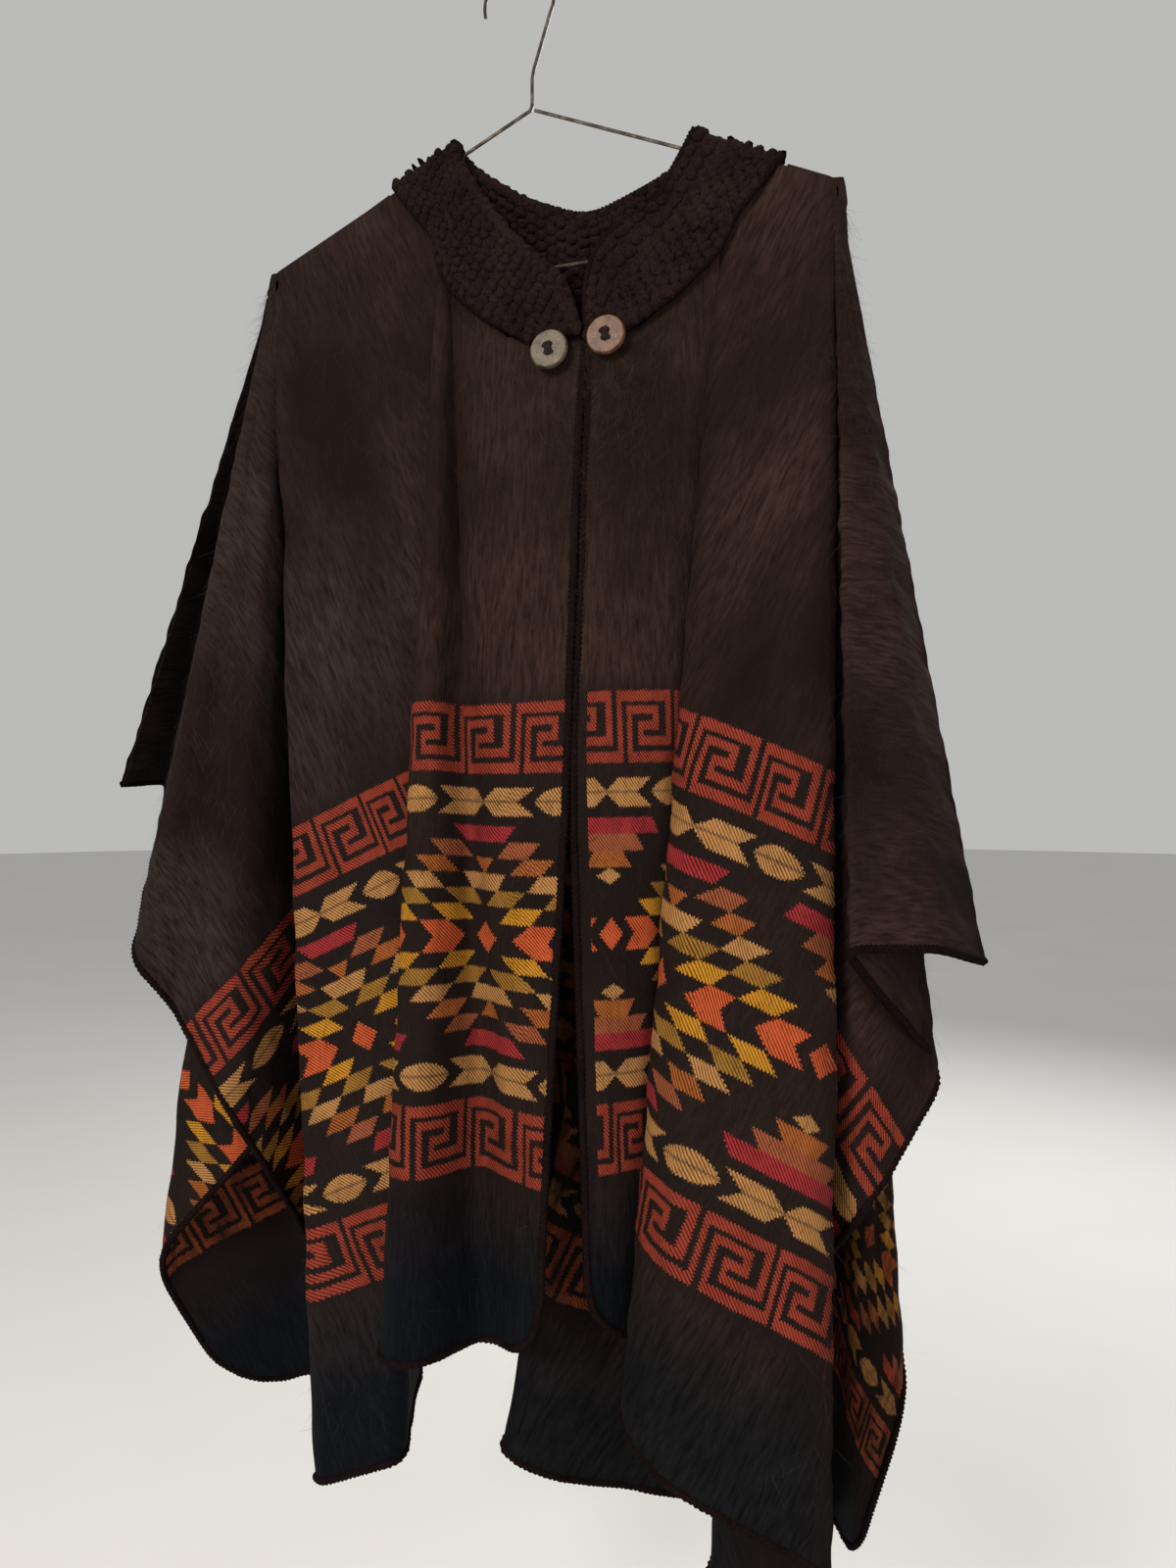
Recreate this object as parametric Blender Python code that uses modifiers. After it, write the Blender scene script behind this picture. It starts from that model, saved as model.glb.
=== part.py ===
"""Andean poncho on a wire hanger, in metres, +Z up, with its front towards -Y.

The origin is the inner top of the hanger's hook. One cloth folded at the shoulders hangs from the two
arms of the hanger. Each panel is ruled by straight lines that fan out from the neck points and from
the tips of the hanger, which is how a woven cloth falls: the tables below give these lines.
"""

import math

import bmesh
import bpy
import numpy as np
from mathutils import Quaternion, Vector

# Wire hanger
WIRE_RADIUS = 0.0013
ARM_SLOPE = math.radians(23.5)
ARM_LENGTH = 0.2317
APEX_Z = -0.105
BAR_BELOW_TIPS = 0.023
TIP_BEND_RADIUS = 0.006
HOOK_RADIUS = 0.027
HOOK_CENTRE_X = -0.010
HOOK_END_ANGLE = 192
HOOK_LEAVES_ANGLE = -28
SHAFT_LENGTH = 0.024
TIP_INSIDE_CLOTH = 0.003

# Bends at the ends of the bottom bar: side, how far inside the tip's bend, how far above the bar
BAR_ENDS = ((-1, 0.006, 0.003), (-1, 0.014, 0.0), (1, 0.014, 0.0), (1, 0.006, 0.003))

# Cloth as it was cut: u runs across from the centre front, v runs down from the shoulder fold
HALF_WIDTH = 0.71
HALF_LENGTH = 0.84
HEM_CORNER_RADIUS = 0.07
SLIT_CORNER_RADIUS = 0.045
NECK_HALF = 0.115
NECK_DROP_FRONT = 0.14
NECK_DROP_BACK = 0.055
SLID_RIGHT = 0.042
CENTRE_ON_ARM = 0.042
CLOTH = 0.002
SEAM_GAP = 0.0003

# Collar and buttons
COLLAR_WALL = 0.0035
COLLAR_OFF_PANEL = 0.0034
COLLAR_RIDGE = 0.004
COLLAR_LAP = 0.005
COLLAR_WIDTH_BACK = 0.050
COLLAR_WIDTH_SHOULDER = 0.046
COLLAR_NARROWER_RIGHT = 0.008
COLLAR_END_V = 0.144
COLLAR_STEP = 0.015
COLLAR_TURN_STEP = 11.0
COLLAR_ROWS = np.array([0.0, 0.25, 0.5, 0.75, 1.0])
BUTTON_RADIUS = 0.014
BUTTON_THICKNESS = 0.003
BUTTON_HOLE_RADIUS = 0.0012
BUTTON_HOLE_APART = 0.0052
BUTTON_COLUMNS = ("name", "u", "v", "turn of its two holes in degrees")
BUTTONS = (
    ("button_left", -0.021, 0.155, 65.0),
    ("button_right", 0.017, 0.145, 50.0),
)

# How finely the panels are divided
LINE_STEP = 0.034
FINE_STEP = 0.012
ROWS_BELOW_START = (0.0, 0.0038, 0.02, 0.05, 0.10, 0.17, 0.26, 0.45, 1.0)

PANELS = ("front_left", "front_right", "back")

# Straight lines of the hanging cloth. "from" is where a line leaves the hanger, "angle" is its
# direction in the flat cloth in degrees from the shoulder fold, "side" and "back" are how far it
# leans to +X and to +Y for each metre, and "drawn" is the length that small waves leave of it.
COLUMNS = ("from", "angle", "side", "back", "drawn")
FRONT_LEFT = (
    ("neck", 129.4, 0.628, -0.080, 1.00),
    ("neck", 105.0, 0.248, -0.088, 1.00),
    ("neck", 97.8, 0.112, -0.068, 1.00),
    ("neck", 94.0, 0.058, -0.022, 1.00),
    ("neck", 92.0, 0.036, -0.034, 1.00),
    ("neck", 89.0, 0.026, -0.112, 1.00),
    ("neck", 87.0, -0.015, -0.098, 1.00),
    ("neck", 79.0, -0.043, 0.050, 1.00),
    ("neck", 74.3, -0.055, -0.024, 1.00),
    ("neck", 69.5, -0.050, 0.050, 1.00),
    ("neck", 64.7, -0.020, -0.050, 1.00),
    ("tip", 71.0, 0.072, -0.048, 1.01),
    ("tip", 59.4, 0.000, 0.130, 1.00),
    ("tip", 48.0, -0.028, -0.047, 0.99),
    ("tip", 41.4, -0.115, -0.057, 0.98),
    ("tip", 35.5, -0.169, -0.096, 1.00),
    ("tip", 6.6, -0.415, 0.221, 1.00),
    ("tip", 0.0, -0.434, 0.108, 1.00),
)
FRONT_RIGHT = (
    ("neck", 139.6, -0.632, -0.080, 1.00),
    ("neck", 120.0, -0.418, -0.088, 1.00),
    ("neck", 105.0, -0.222, -0.090, 1.00),
    ("neck", 98.2, -0.112, -0.042, 1.00),
    ("neck", 95.6, -0.083, 0.000, 1.00),
    ("neck", 91.3, -0.058, 0.038, 1.00),
    ("neck", 87.0, -0.068, -0.040, 1.00),
    ("neck", 82.7, -0.052, 0.036, 1.00),
    ("neck", 78.5, -0.070, -0.040, 1.00),
    ("neck", 74.2, -0.056, 0.034, 1.00),
    ("neck", 70.0, -0.090, -0.032, 1.00),
    ("neck", 67.5, -0.030, -0.071, 1.00),
    ("tip", 65.0, 0.011, -0.049, 1.00),
    ("tip", 57.5, -0.095, -0.033, 1.00),
    ("tip", 49.0, -0.070, 0.070, 1.00),
    ("tip", 39.0, 0.024, -0.023, 1.00),
    ("tip", 29.0, 0.118, 0.072, 0.98),
    ("tip", 16.0, 0.028, -0.126, 0.91),
    ("tip", 7.0, 0.135, -0.020, 0.95),
    ("tip", 0.0, 0.175, 0.103, 1.00),
)
BACK = (
    ("left tip", 0.0, -0.434, 0.108, 1.00),
    ("left tip", 9.0, -0.480, 0.258, 1.00),
    ("left tip", 17.7, -0.386, 0.290, 1.00),
    ("left tip", 39.0, -0.161, -0.010, 1.00),
    ("left tip", 48.0, -0.026, 0.044, 1.00),
    ("left tip", 51.0, -0.059, 0.009, 1.00),
    ("left tip", 57.0, -0.173, 0.030, 1.00),
    ("left tip", 61.0, -0.127, 0.078, 1.00),
    ("left tip", 66.0, -0.052, 0.120, 1.00),
    ("left neck", 66.0, -0.039, 0.114, 1.00),
    ("left neck", 73.0, -0.024, 0.224, 1.00),
    ("left neck", 80.0, 0.005, 0.108, 1.00),
    ("left neck", 86.0, 0.020, 0.218, 1.00),
    ("left neck", 90.0, 0.021, 0.155, 1.00),
    ("mid neck", 90.0, 0.000, 0.250, 1.00),
    ("right neck", 90.0, -0.077, 0.132, 1.00),
    ("right neck", 83.6, -0.110, 0.086, 1.00),
    ("right neck", 76.4, -0.198, -0.014, 1.00),
    ("right neck", 73.2, -0.140, -0.014, 1.00),
    ("right neck", 71.5, -0.105, 0.029, 1.00),
    ("right neck", 68.6, -0.034, 0.060, 1.00),
    ("right tip", 68.0, -0.029, 0.124, 1.00),
    ("right tip", 63.0, -0.024, 0.180, 1.00),
    ("right tip", 58.0, 0.000, 0.130, 1.00),
    ("right tip", 52.0, 0.054, 0.130, 1.00),
    ("right tip", 40.5, -0.003, 0.316, 1.00),
    ("right tip", 30.0, 0.103, 0.162, 1.00),
    ("right tip", 18.0, 0.016, 0.354, 1.00),
    ("right tip", 10.0, 0.136, 0.280, 1.00),
    ("right tip", 0.0, 0.175, 0.103, 1.00),
)

# Stations of the collar round the neck, in the flat cloth. "turn" is the direction of its width in
# degrees from +u towards +v, "out" is its width on the cloth, "in" is how far it stands into the
# neck opening, and "rise" is how far its inner edge stands up.
COLLAR_COLUMNS = ("u", "v", "turn", "out", "in", "rise")
COLLAR = (
    (-0.003, 0.1440, 180.0, 0.036, 0.001, 0.000),
    (-0.025, 0.1096, 160.0, 0.050, 0.012, 0.000),
    (-0.042, 0.0882, 152.0, 0.051, 0.006, 0.000),
    (-0.060, 0.0670, 144.0, 0.052, 0.002, 0.000),
    (-0.095, 0.0243, 146.0, 0.050, 0.006, 0.000),
    (-0.115, 0.0000, 180.0, 0.046, 0.010, 0.000),
    (-0.100, -0.0044, 226.0, 0.048, 0.004, 0.001),
    (-0.060, -0.0163, 256.0, 0.052, 0.000, 0.002),
    (0.000, -0.0340, 270.0, 0.054, 0.000, 0.015),
    (0.060, 0.0057, 296.0, 0.052, 0.000, 0.013),
    (0.100, 0.0321, 322.0, 0.044, 0.016, 0.004),
    (0.115, 0.0420, 360.0, 0.038, 0.028, 0.000),
    (0.095, 0.0590, 402.0, 0.042, 0.026, 0.000),
    (0.074, 0.0770, 407.0, 0.043, 0.018, 0.000),
    (0.060, 0.0889, 410.0, 0.044, 0.031, 0.000),
    (0.046, 0.1010, 400.0, 0.044, 0.040, 0.000),
    (0.025, 0.1187, 386.0, 0.042, 0.024, 0.000),
    (0.003, 0.1440, 360.0, 0.032, 0.001, 0.000),
)

# How softly the lines bend into each other along the panel, below and near the hanger
SHARP_WIDTH = 0.016
BROAD_WIDTH = 0.090
OUTWARD_WIDTH = 0.035
ANGLE_SHARE = 0.80
FOLDS_START = 0.010
FOLDS_FULL = 0.150
SHOULDER_ROLL = 0.0052
ROLL_DEPTH = 0.006

# How far the middle of a wall lies from the hanger's plane: beside the wire, and where two panels
# meet beyond its tips. Below the bar the panels may swing across that plane.
BESIDE_WIRE = WIRE_RADIUS + SEAM_GAP + CLOTH / 2 + 0.0011
AT_FOLD = (CLOTH + SEAM_GAP) / 2 + 0.0001
WIDER_UNDER_COLLAR = 0.0014
FREE_BELOW_BAR = 0.11
SWING = 0.22


def arm_point(along):
    """A point of the shoulder line, along the left (-) or the right (+) arm from the apex."""
    x = along * math.cos(ARM_SLOPE)
    z = APEX_Z - abs(along) * math.sin(ARM_SLOPE)
    return np.array([x, 0.0, z])


def start_of(place, front):
    """The cloth point (u, v) and the point in space where a line leaves the hanger."""
    side = -1 if "left" in place else 1
    slid = SLID_RIGHT * (1 if front else -1)
    if "mid" in place:
        between = (start_of("left neck", False)[1] + start_of("right neck", False)[1]) / 2
        return (0.0, NECK_DROP_BACK + slid / 2), between - [0, 0, NECK_DROP_BACK]
    u = side * NECK_HALF if "neck" in place else side * ARM_LENGTH - CENTRE_ON_ARM
    return (u, slid if side > 0 else 0.0), arm_point(u + CENTRE_ON_ARM)


def lines_of(table, prefix, front):
    """One row for each line: u, v, angle from +u, x, y, z, side, back, drawn."""
    rows = []
    for place, angle, side, back, drawn in table:
        (u, v), point = start_of(prefix + place, front)
        turn = math.radians(180 - angle if "left" in prefix + place else angle)
        rows.append((u, v, turn, *point, side, back, drawn))
    return np.array(rows)


def softened(values, at, t, width):
    """The values along t, averaged over a bell of this width, with the two ends kept."""
    total = np.zeros(len(at))
    weights = 0.0
    for k in np.linspace(-2.6, 2.6, 27):
        q = at + k * width
        value = np.interp(q, t, values)
        value = np.where(q < 0, 2 * values[0] - np.interp(-q, t, values), value)
        beyond = 2 * values[-1] - np.interp(2 * t[-1] - q, t, values)
        value = np.where(q > t[-1], beyond, value)
        weight = math.exp(-k * k / 2)
        total += weight * value
        weights += weight
    return total / weights


def outside_corner(du, dv, radius):
    """How far a point lies outside a corner that is rounded to this radius."""
    beyond = np.maximum(np.hypot(du, dv) - radius, 0)
    return np.where((du > 0) & (dv > 0), beyond, 0)


def reach(u, v, turn, front):
    """The length of each line, from its start to the edge of the cloth."""
    across = np.cos(turn)
    down = np.maximum(np.sin(turn), 1e-6)
    room = np.where(across >= 0, HALF_WIDTH - u, HALF_WIDTH + u)
    length = np.minimum(room / np.maximum(np.abs(across), 1e-6), (HALF_LENGTH - v) / down)
    if front:
        to_slit = np.abs(u) / np.maximum(np.abs(across), 1e-6)
        length = np.where(u * across < -1e-9, np.minimum(length, to_slit), length)
    hem = HALF_LENGTH - HEM_CORNER_RADIUS
    slit_hem = HALF_LENGTH - SLIT_CORNER_RADIUS
    for _ in range(60):
        pu = np.abs(u + length * across)
        pv = v + length * down
        over = outside_corner(pu - HALF_WIDTH + HEM_CORNER_RADIUS, pv - hem, HEM_CORNER_RADIUS)
        if front:
            over = over + outside_corner(SLIT_CORNER_RADIUS - pu, pv - slit_hem, SLIT_CORNER_RADIUS)
        length = length - 0.6 * over
    return length


def collar_cut(u, v, turn, whole, front):
    """Where the panel starts on each line: at the collar's outer edge, less the lap under it."""
    side = np.where(u < 0, -1.0, 1.0)
    fold = np.where(u < 0, 0.0, SLID_RIGHT) * (1 if front else -1)
    end_v = NECK_DROP_FRONT if front else NECK_DROP_BACK - SLID_RIGHT / 2
    cut = np.zeros(len(u))
    edge_u = side * NECK_HALF
    along = np.hypot(edge_u, end_v - fold)
    for r in np.linspace(0, 0.25, 251):
        pu = u + r * np.cos(turn)
        pv = v + r * np.sin(turn)
        share = ((edge_u - pu) * edge_u + (pv - fold) * (end_v - fold)) / along**2
        share = np.clip(share, 0, 1)
        away = np.hypot(pu - edge_u * (1 - share), pv - fold - share * (end_v - fold))
        at_shoulder = COLLAR_WIDTH_SHOULDER if front else COLLAR_WIDTH_BACK
        width = np.interp(share, [0, 1], [at_shoulder, COLLAR_WIDTH_BACK]) - COLLAR_LAP
        width = np.where(side > 0, width - COLLAR_NARROWER_RIGHT, width)
        under = away < width
        if front:
            under = under & (pv < COLLAR_END_V - COLLAR_LAP)
        cut = np.where(under, r, cut)
    return np.minimum(cut, whole - 0.006)


def smooth_step(x):
    x = np.clip(x, 0, 1)
    return x * x * (3 - 2 * x)


def outward_of(front_left, front, x, side, back, at):
    """The outward direction of each line in plan, from the panel's broad form."""
    along_x = np.gradient(x + 0.4 * side, at)
    along_y = np.gradient(0.4 * back, at)
    size = np.maximum(np.hypot(along_x, along_y), 1e-9)
    sign = -1.0 if front_left else 1.0
    if not front:
        sign = -sign
    return along_y / size * sign, -along_x / size * sign


def beyond_tip(x, from_fold, r):
    """1 on the cloth beyond the hanger's tips, by the shoulder fold, where no wire lies inside."""
    past = smooth_step((x - arm_point(ARM_LENGTH)[0]) / 0.006)
    by_fold = smooth_step((math.radians(32) - from_fold) / math.radians(16))
    return past * by_fold * smooth_step((r - 0.010) / 0.030)


def drape(name, step, rows, cut=True):
    """The middle surface of a panel: cloth u and v, and the points, as rows by lines."""
    front = name != "back"
    table = {"front_left": FRONT_LEFT, "front_right": FRONT_RIGHT, "back": BACK}[name]
    prefix = {"front_left": "left ", "front_right": "right ", "back": ""}[name]
    keys = lines_of(table, prefix, front)
    apart = np.abs(np.diff(keys[:, 0])) + ANGLE_SHARE * np.abs(np.diff(keys[:, 2]))
    t = np.concatenate([[0], np.cumsum(np.maximum(apart, 1e-4))])
    at = np.linspace(SEAM_GAP / 2, t[-1] - SEAM_GAP / 2, round(t[-1] / step) + 1)
    u, v, turn, x, y, z = (np.interp(at, t, keys[:, c]) for c in range(6))
    side, back, drawn = (softened(keys[:, c], at, t, SHARP_WIDTH) for c in (6, 7, 8))
    side_broad, back_broad = (softened(keys[:, c], at, t, BROAD_WIDTH) for c in (6, 7))
    side_mid, back_mid = (softened(keys[:, c], at, t, OUTWARD_WIDTH) for c in (6, 7))
    out_x, out_y = outward_of(name == "front_left", front, x, side_mid, back_mid, at)
    whole = reach(u, v, turn, front)
    first = collar_cut(u, v, turn, whole, front) if cut else np.zeros(len(at))
    r = first + (whole - first) * np.asarray(rows)[:, None]
    grow = smooth_step((r - FOLDS_START) / (FOLDS_FULL - FOLDS_START))
    side = side_broad + (side - side_broad) * grow
    back = back_broad + (back - back_broad) * grow
    down = np.sqrt(np.clip(1 - side**2 - back**2, 0.05, 1))
    length = r * (1 + (drawn - 1) * smooth_step(r / 0.3))
    px, py, pz = x + length * side, y + length * back, z - length * down
    # The cloth lies clear of the wire, and at the shoulder fold the panels meet over it.
    at_fold = r < 1e-9
    off_tip = beyond_tip(np.abs(px), np.where(u < 0, math.pi - turn, turn), r)
    gap = BESIDE_WIRE + (AT_FOLD - BESIDE_WIRE) * off_tip
    towards = -1.0 if front else 1.0
    fold_y = AT_FOLD + WIDER_UNDER_COLLAR * np.clip(1.6 - (np.abs(u) - NECK_HALF) / 0.045, 0, 1)
    px = np.where(at_fold, px, px + gap * out_x)
    py = np.where(at_fold, towards * fold_y, py + gap * out_y)
    pz = pz + SHOULDER_ROLL * np.clip(1 - r / ROLL_DEPTH, 0, 1)
    free_z = arm_point(ARM_LENGTH)[2] - BAR_BELOW_TIPS - FREE_BELOW_BAR
    limit = BESIDE_WIRE - SWING * np.maximum(free_z - pz, 0) - 0.3 * off_tip
    clear = np.minimum(py, -limit) if front else np.maximum(py, limit)
    py = np.where(at_fold, py, clear)
    return u + r * np.cos(turn), v + r * np.sin(turn), np.stack([px, py, pz], -1)


def point_on(panel, u, v):
    """The point in space of the cloth point (u, v), on a panel from drape()."""
    flat = np.stack([panel[0], panel[1]], -1)
    grids = (flat[:-1, :-1], flat[:-1, 1:], flat[1:, 1:], flat[1:, :-1])
    a, b, c, d = (grid.reshape(-1, 2) for grid in grids)
    corners = [np.concatenate(pair) for pair in ((a, a), (b, c), (c, d))]
    space = panel[2]
    grids = (space[:-1, :-1], space[:-1, 1:], space[1:, 1:], space[1:, :-1])
    a, b, c, d = (grid.reshape(-1, 3) for grid in grids)
    points = [np.concatenate(pair) for pair in ((a, a), (b, c), (c, d))]
    e1, e2 = corners[1] - corners[0], corners[2] - corners[0]
    q = np.array([u, v]) - corners[0]
    area = e1[:, 0] * e2[:, 1] - e1[:, 1] * e2[:, 0]
    safe = np.where(np.abs(area) < 1e-12, 1.0, area)
    s = (q[:, 0] * e2[:, 1] - q[:, 1] * e2[:, 0]) / safe
    w = (e1[:, 0] * q[:, 1] - e1[:, 1] * q[:, 0]) / safe
    miss = np.maximum(0, -s) + np.maximum(0, -w) + np.maximum(0, s + w - 1)
    miss = np.where(np.abs(area) < 1e-12, np.inf, miss)
    k = int(np.argmin(miss))
    return points[0][k] + s[k] * (points[1][k] - points[0][k]) + w[k] * (points[2][k] - points[0][k])


def averaged(grid, passes):
    """The grid with each station moved towards its two neighbours, and its ends kept."""
    for _ in range(passes):
        inner = 0.5 * grid[1:-1] + 0.25 * (grid[:-2] + grid[2:])
        grid = np.concatenate([grid[:1], inner, grid[-1:]])
    return grid


def normals_of(grid):
    """Unit normals of a grid of points, stations by rows."""
    along = np.gradient(grid, axis=0)
    across = np.gradient(grid, axis=1)
    normal = np.cross(along, across)
    return normal / np.maximum(np.linalg.norm(normal, axis=-1, keepdims=True), 1e-12)


def collar_stations():
    """The stations between those of the table, closer together where the collar turns."""
    table = np.array(COLLAR)
    apart = np.hypot(*np.diff(table[:, :2], axis=0).T) + 0.02
    t = np.concatenate([[0], np.cumsum(apart)])
    turned = np.abs(np.diff(table[:, 2]))
    steps = np.maximum(apart / COLLAR_STEP, turned / COLLAR_TURN_STEP)
    spans = [np.linspace(a, b, int(n) + 1, endpoint=False) for a, b, n in zip(t, t[1:], steps)]
    at = np.concatenate([*spans, t[-1:]])
    return [np.interp(at, t, table[:, c]) for c in range(len(COLLAR_COLUMNS))]


def collar_point(panels, u, v):
    """A point under the collar. The shoulder fold, at v = 0 or slid, passes over the hanger's arm."""
    fold = SLID_RIGHT if u > 0 else 0.0
    if v < fold - 1e-6:
        return point_on(panels["back"], u, -v)
    point = point_on(panels["front_left" if u < 0 else "front_right"], u, v)
    if v < fold + 1e-6:
        return point * [1, 0, 1] + [0, 0, COLLAR_RIDGE]
    return point


def collar_grid():
    """The middle surface of the collar, stations by rows from the inner to the outer edge."""
    rows = (*np.linspace(0, 0.24, 31), 0.35, 0.6, 1)
    panels = {name: drape(name, FINE_STEP, rows, cut=False) for name in PANELS}
    grid = []
    over_arms = []
    for k, (u, v, turn, out, into, rise) in enumerate(zip(*collar_stations())):
        across = math.cos(math.radians(turn))
        down = math.sin(math.radians(turn))
        lying = [collar_point(panels, u + share * across, v + share * down) for share in out * COLLAR_ROWS]
        inward = (lying[0] - lying[2]) * [1, 0, 1]
        reach_in = into * inward / np.linalg.norm(inward) + [0, 0, rise]
        grid.append([lying[0] + reach_in, lying[0] + reach_in / 2, *lying])
        if abs(u) > NECK_HALF - 1e-6:
            over_arms.append(k)
    grid = np.array(grid)
    left, right = over_arms
    stretches = (grid[: left + 1], grid[left : right + 1], grid[right:])
    smooth = [averaged(stretch, 4) for stretch in stretches]
    grid = np.concatenate([smooth[0][:-1], smooth[1][:-1], smooth[2]])
    outward = normals_of(grid)
    if outward[2, 3, 1] > 0:
        outward = -outward
    lift = CLOTH / 2 + COLLAR_OFF_PANEL + COLLAR_WALL / 2
    return grid + lift * averaged(outward, 2)


def material(name, colour, roughness, metallic=0.0):
    made = bpy.data.materials.new(name)
    made.use_nodes = True
    shader = made.node_tree.nodes["Principled BSDF"]
    shader.inputs["Base Color"].default_value = (*colour, 1.0)
    shader.inputs["Roughness"].default_value = roughness
    shader.inputs["Metallic"].default_value = metallic
    return made


def add_object(name, mesh, collection, surface=None):
    made = bpy.data.objects.new(name, mesh)
    collection.objects.link(made)
    if surface:
        mesh.materials.append(surface)
    return made


def sheet_object(name, grid, thickness, collection, surface):
    """A wall of even thickness on both sides of a grid of points."""
    mesh = bpy.data.meshes.new(name)
    form = bmesh.new()
    rows, lines = grid.shape[:2]
    verts = [[form.verts.new(grid[r, c]) for c in range(lines)] for r in range(rows)]
    for r in range(rows - 1):
        for c in range(lines - 1):
            form.faces.new((verts[r][c], verts[r + 1][c], verts[r + 1][c + 1], verts[r][c + 1]))
    bmesh.ops.remove_doubles(form, verts=form.verts, dist=1e-5)
    bmesh.ops.recalc_face_normals(form, faces=form.faces)
    form.to_mesh(mesh)
    form.free()
    mesh.shade_smooth()
    made = add_object(name, mesh, collection, surface)
    wall = made.modifiers.new("wall", "SOLIDIFY")
    wall.thickness = thickness
    wall.offset = 0.0
    return made


def wire_object(name, points, radius, collection, surface):
    """A bent wire as one welded body, from a line of points."""
    curve = bpy.data.curves.new(name, "CURVE")
    curve.dimensions = "3D"
    curve.bevel_depth = radius
    curve.bevel_resolution = 2
    curve.use_fill_caps = True
    line = curve.splines.new("POLY")
    line.points.add(len(points) - 1)
    for spot, point in zip(line.points, points):
        spot.co = (*point, 1.0)
    guide = bpy.data.objects.new(name + "_guide", curve)
    collection.objects.link(guide)
    graph = bpy.context.evaluated_depsgraph_get()
    mesh = bpy.data.meshes.new_from_object(guide.evaluated_get(graph))
    bpy.data.objects.remove(guide)
    form = bmesh.new()
    form.from_mesh(mesh)
    bmesh.ops.remove_doubles(form, verts=form.verts, dist=1e-5)
    bmesh.ops.recalc_face_normals(form, faces=form.faces)
    form.to_mesh(mesh)
    form.free()
    mesh.shade_smooth()
    return add_object(name, mesh, collection, surface)


def bend(centre, radius, start, end, steps):
    """Points of an arc in the plane y = 0, between two angles in degrees from +x towards +z."""
    angles = np.radians(np.linspace(start, end, steps))
    x, z = centre
    return [np.array([x + radius * math.cos(a), 0.0, z + radius * math.sin(a)]) for a in angles]


def hanger_points():
    """The line of the wire: hook, shaft, left arm, bottom bar, right arm, back beside the shaft."""
    hook_z = WIRE_RADIUS - HOOK_RADIUS
    points = bend((HOOK_CENTRE_X, hook_z), HOOK_RADIUS, HOOK_END_ANGLE, HOOK_LEAVES_ANGLE, 22)
    shaft_top = np.array([0.0, 0.0, APEX_Z + SHAFT_LENGTH])
    points += [shaft_top + [0.0012, 0, 0.004], shaft_top + [0, 0, -0.002]]
    points += [np.array([0, 0, APEX_Z + 0.003]), np.array([-0.0012, 0, APEX_Z - 0.0004])]
    slope = math.degrees(ARM_SLOPE)
    bend_from = arm_point(ARM_LENGTH - TIP_BEND_RADIUS - TIP_INSIDE_CLOTH)
    x = bend_from[0] - TIP_BEND_RADIUS * math.sin(ARM_SLOPE)
    z = bend_from[2] - TIP_BEND_RADIUS * math.cos(ARM_SLOPE)
    bar_z = arm_point(ARM_LENGTH)[2] - BAR_BELOW_TIPS
    points += bend((-x, z), TIP_BEND_RADIUS, 90 + slope, 200, 5)
    points += [np.array([side * (x - inside), 0, bar_z + above]) for side, inside, above in BAR_ENDS]
    points += bend((x, z), TIP_BEND_RADIUS, -20, 90 - slope, 5)
    points += [arm_point(WIRE_RADIUS + 0.0011)]
    return points


def button_place(u, v):
    """The centre of a button that lies on the collar over the cloth point (u, v), and its facing."""
    rows = (*np.linspace(0, 0.3, 16), 0.5, 1)
    panel = drape("front_left" if u < 0 else "front_right", FINE_STEP, rows, cut=False)
    here = point_on(panel, u, v)
    across = point_on(panel, u + math.copysign(0.008, u), v) - here
    below = point_on(panel, u, v + 0.02) - here
    facing = np.cross(across, below)
    facing = facing * -np.sign(facing[1]) / np.linalg.norm(facing)
    lift = CLOTH / 2 + COLLAR_OFF_PANEL + COLLAR_WALL + 2 * SEAM_GAP + BUTTON_THICKNESS / 2
    return here + lift * facing, facing


def button(name, centre, facing, spin, collection, surface, cutters):
    """A round, slightly domed button with two holes."""
    form = bmesh.new()
    bmesh.ops.create_cone(
        form,
        cap_ends=True,
        segments=32,
        radius1=BUTTON_RADIUS,
        radius2=BUTTON_RADIUS * 0.94,
        depth=BUTTON_THICKNESS,
    )
    mesh = bpy.data.meshes.new(name)
    form.to_mesh(mesh)
    form.free()
    made = add_object(name, mesh, collection, surface)
    made.location = centre
    made.rotation_mode = "QUATERNION"
    turned = Vector(facing).to_track_quat("Z", "Y")
    made.rotation_quaternion = turned @ Quaternion((0, 0, 1), spin)
    edge = made.modifiers.new("edge", "BEVEL")
    edge.width = 0.0007
    edge.segments = 2
    for number, side in enumerate((-1, 1)):
        form = bmesh.new()
        bmesh.ops.create_cone(
            form,
            cap_ends=True,
            segments=12,
            radius1=BUTTON_HOLE_RADIUS,
            radius2=BUTTON_HOLE_RADIUS,
            depth=4 * BUTTON_THICKNESS,
        )
        mesh = bpy.data.meshes.new(f"{name}_hole_{number}")
        form.to_mesh(mesh)
        form.free()
        hole = add_object(f"{name}_hole_{number}", mesh, cutters)
        hole.parent = made
        hole.location = (side * BUTTON_HOLE_APART / 2, 0, 0)
        hole.hide_render = True
        hole.display_type = "WIRE"
        cut = made.modifiers.new(f"hole_{number}", "BOOLEAN")
        cut.object = hole
    return made


def clear_scene():
    for old in list(bpy.data.objects):
        bpy.data.objects.remove(old)


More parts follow.
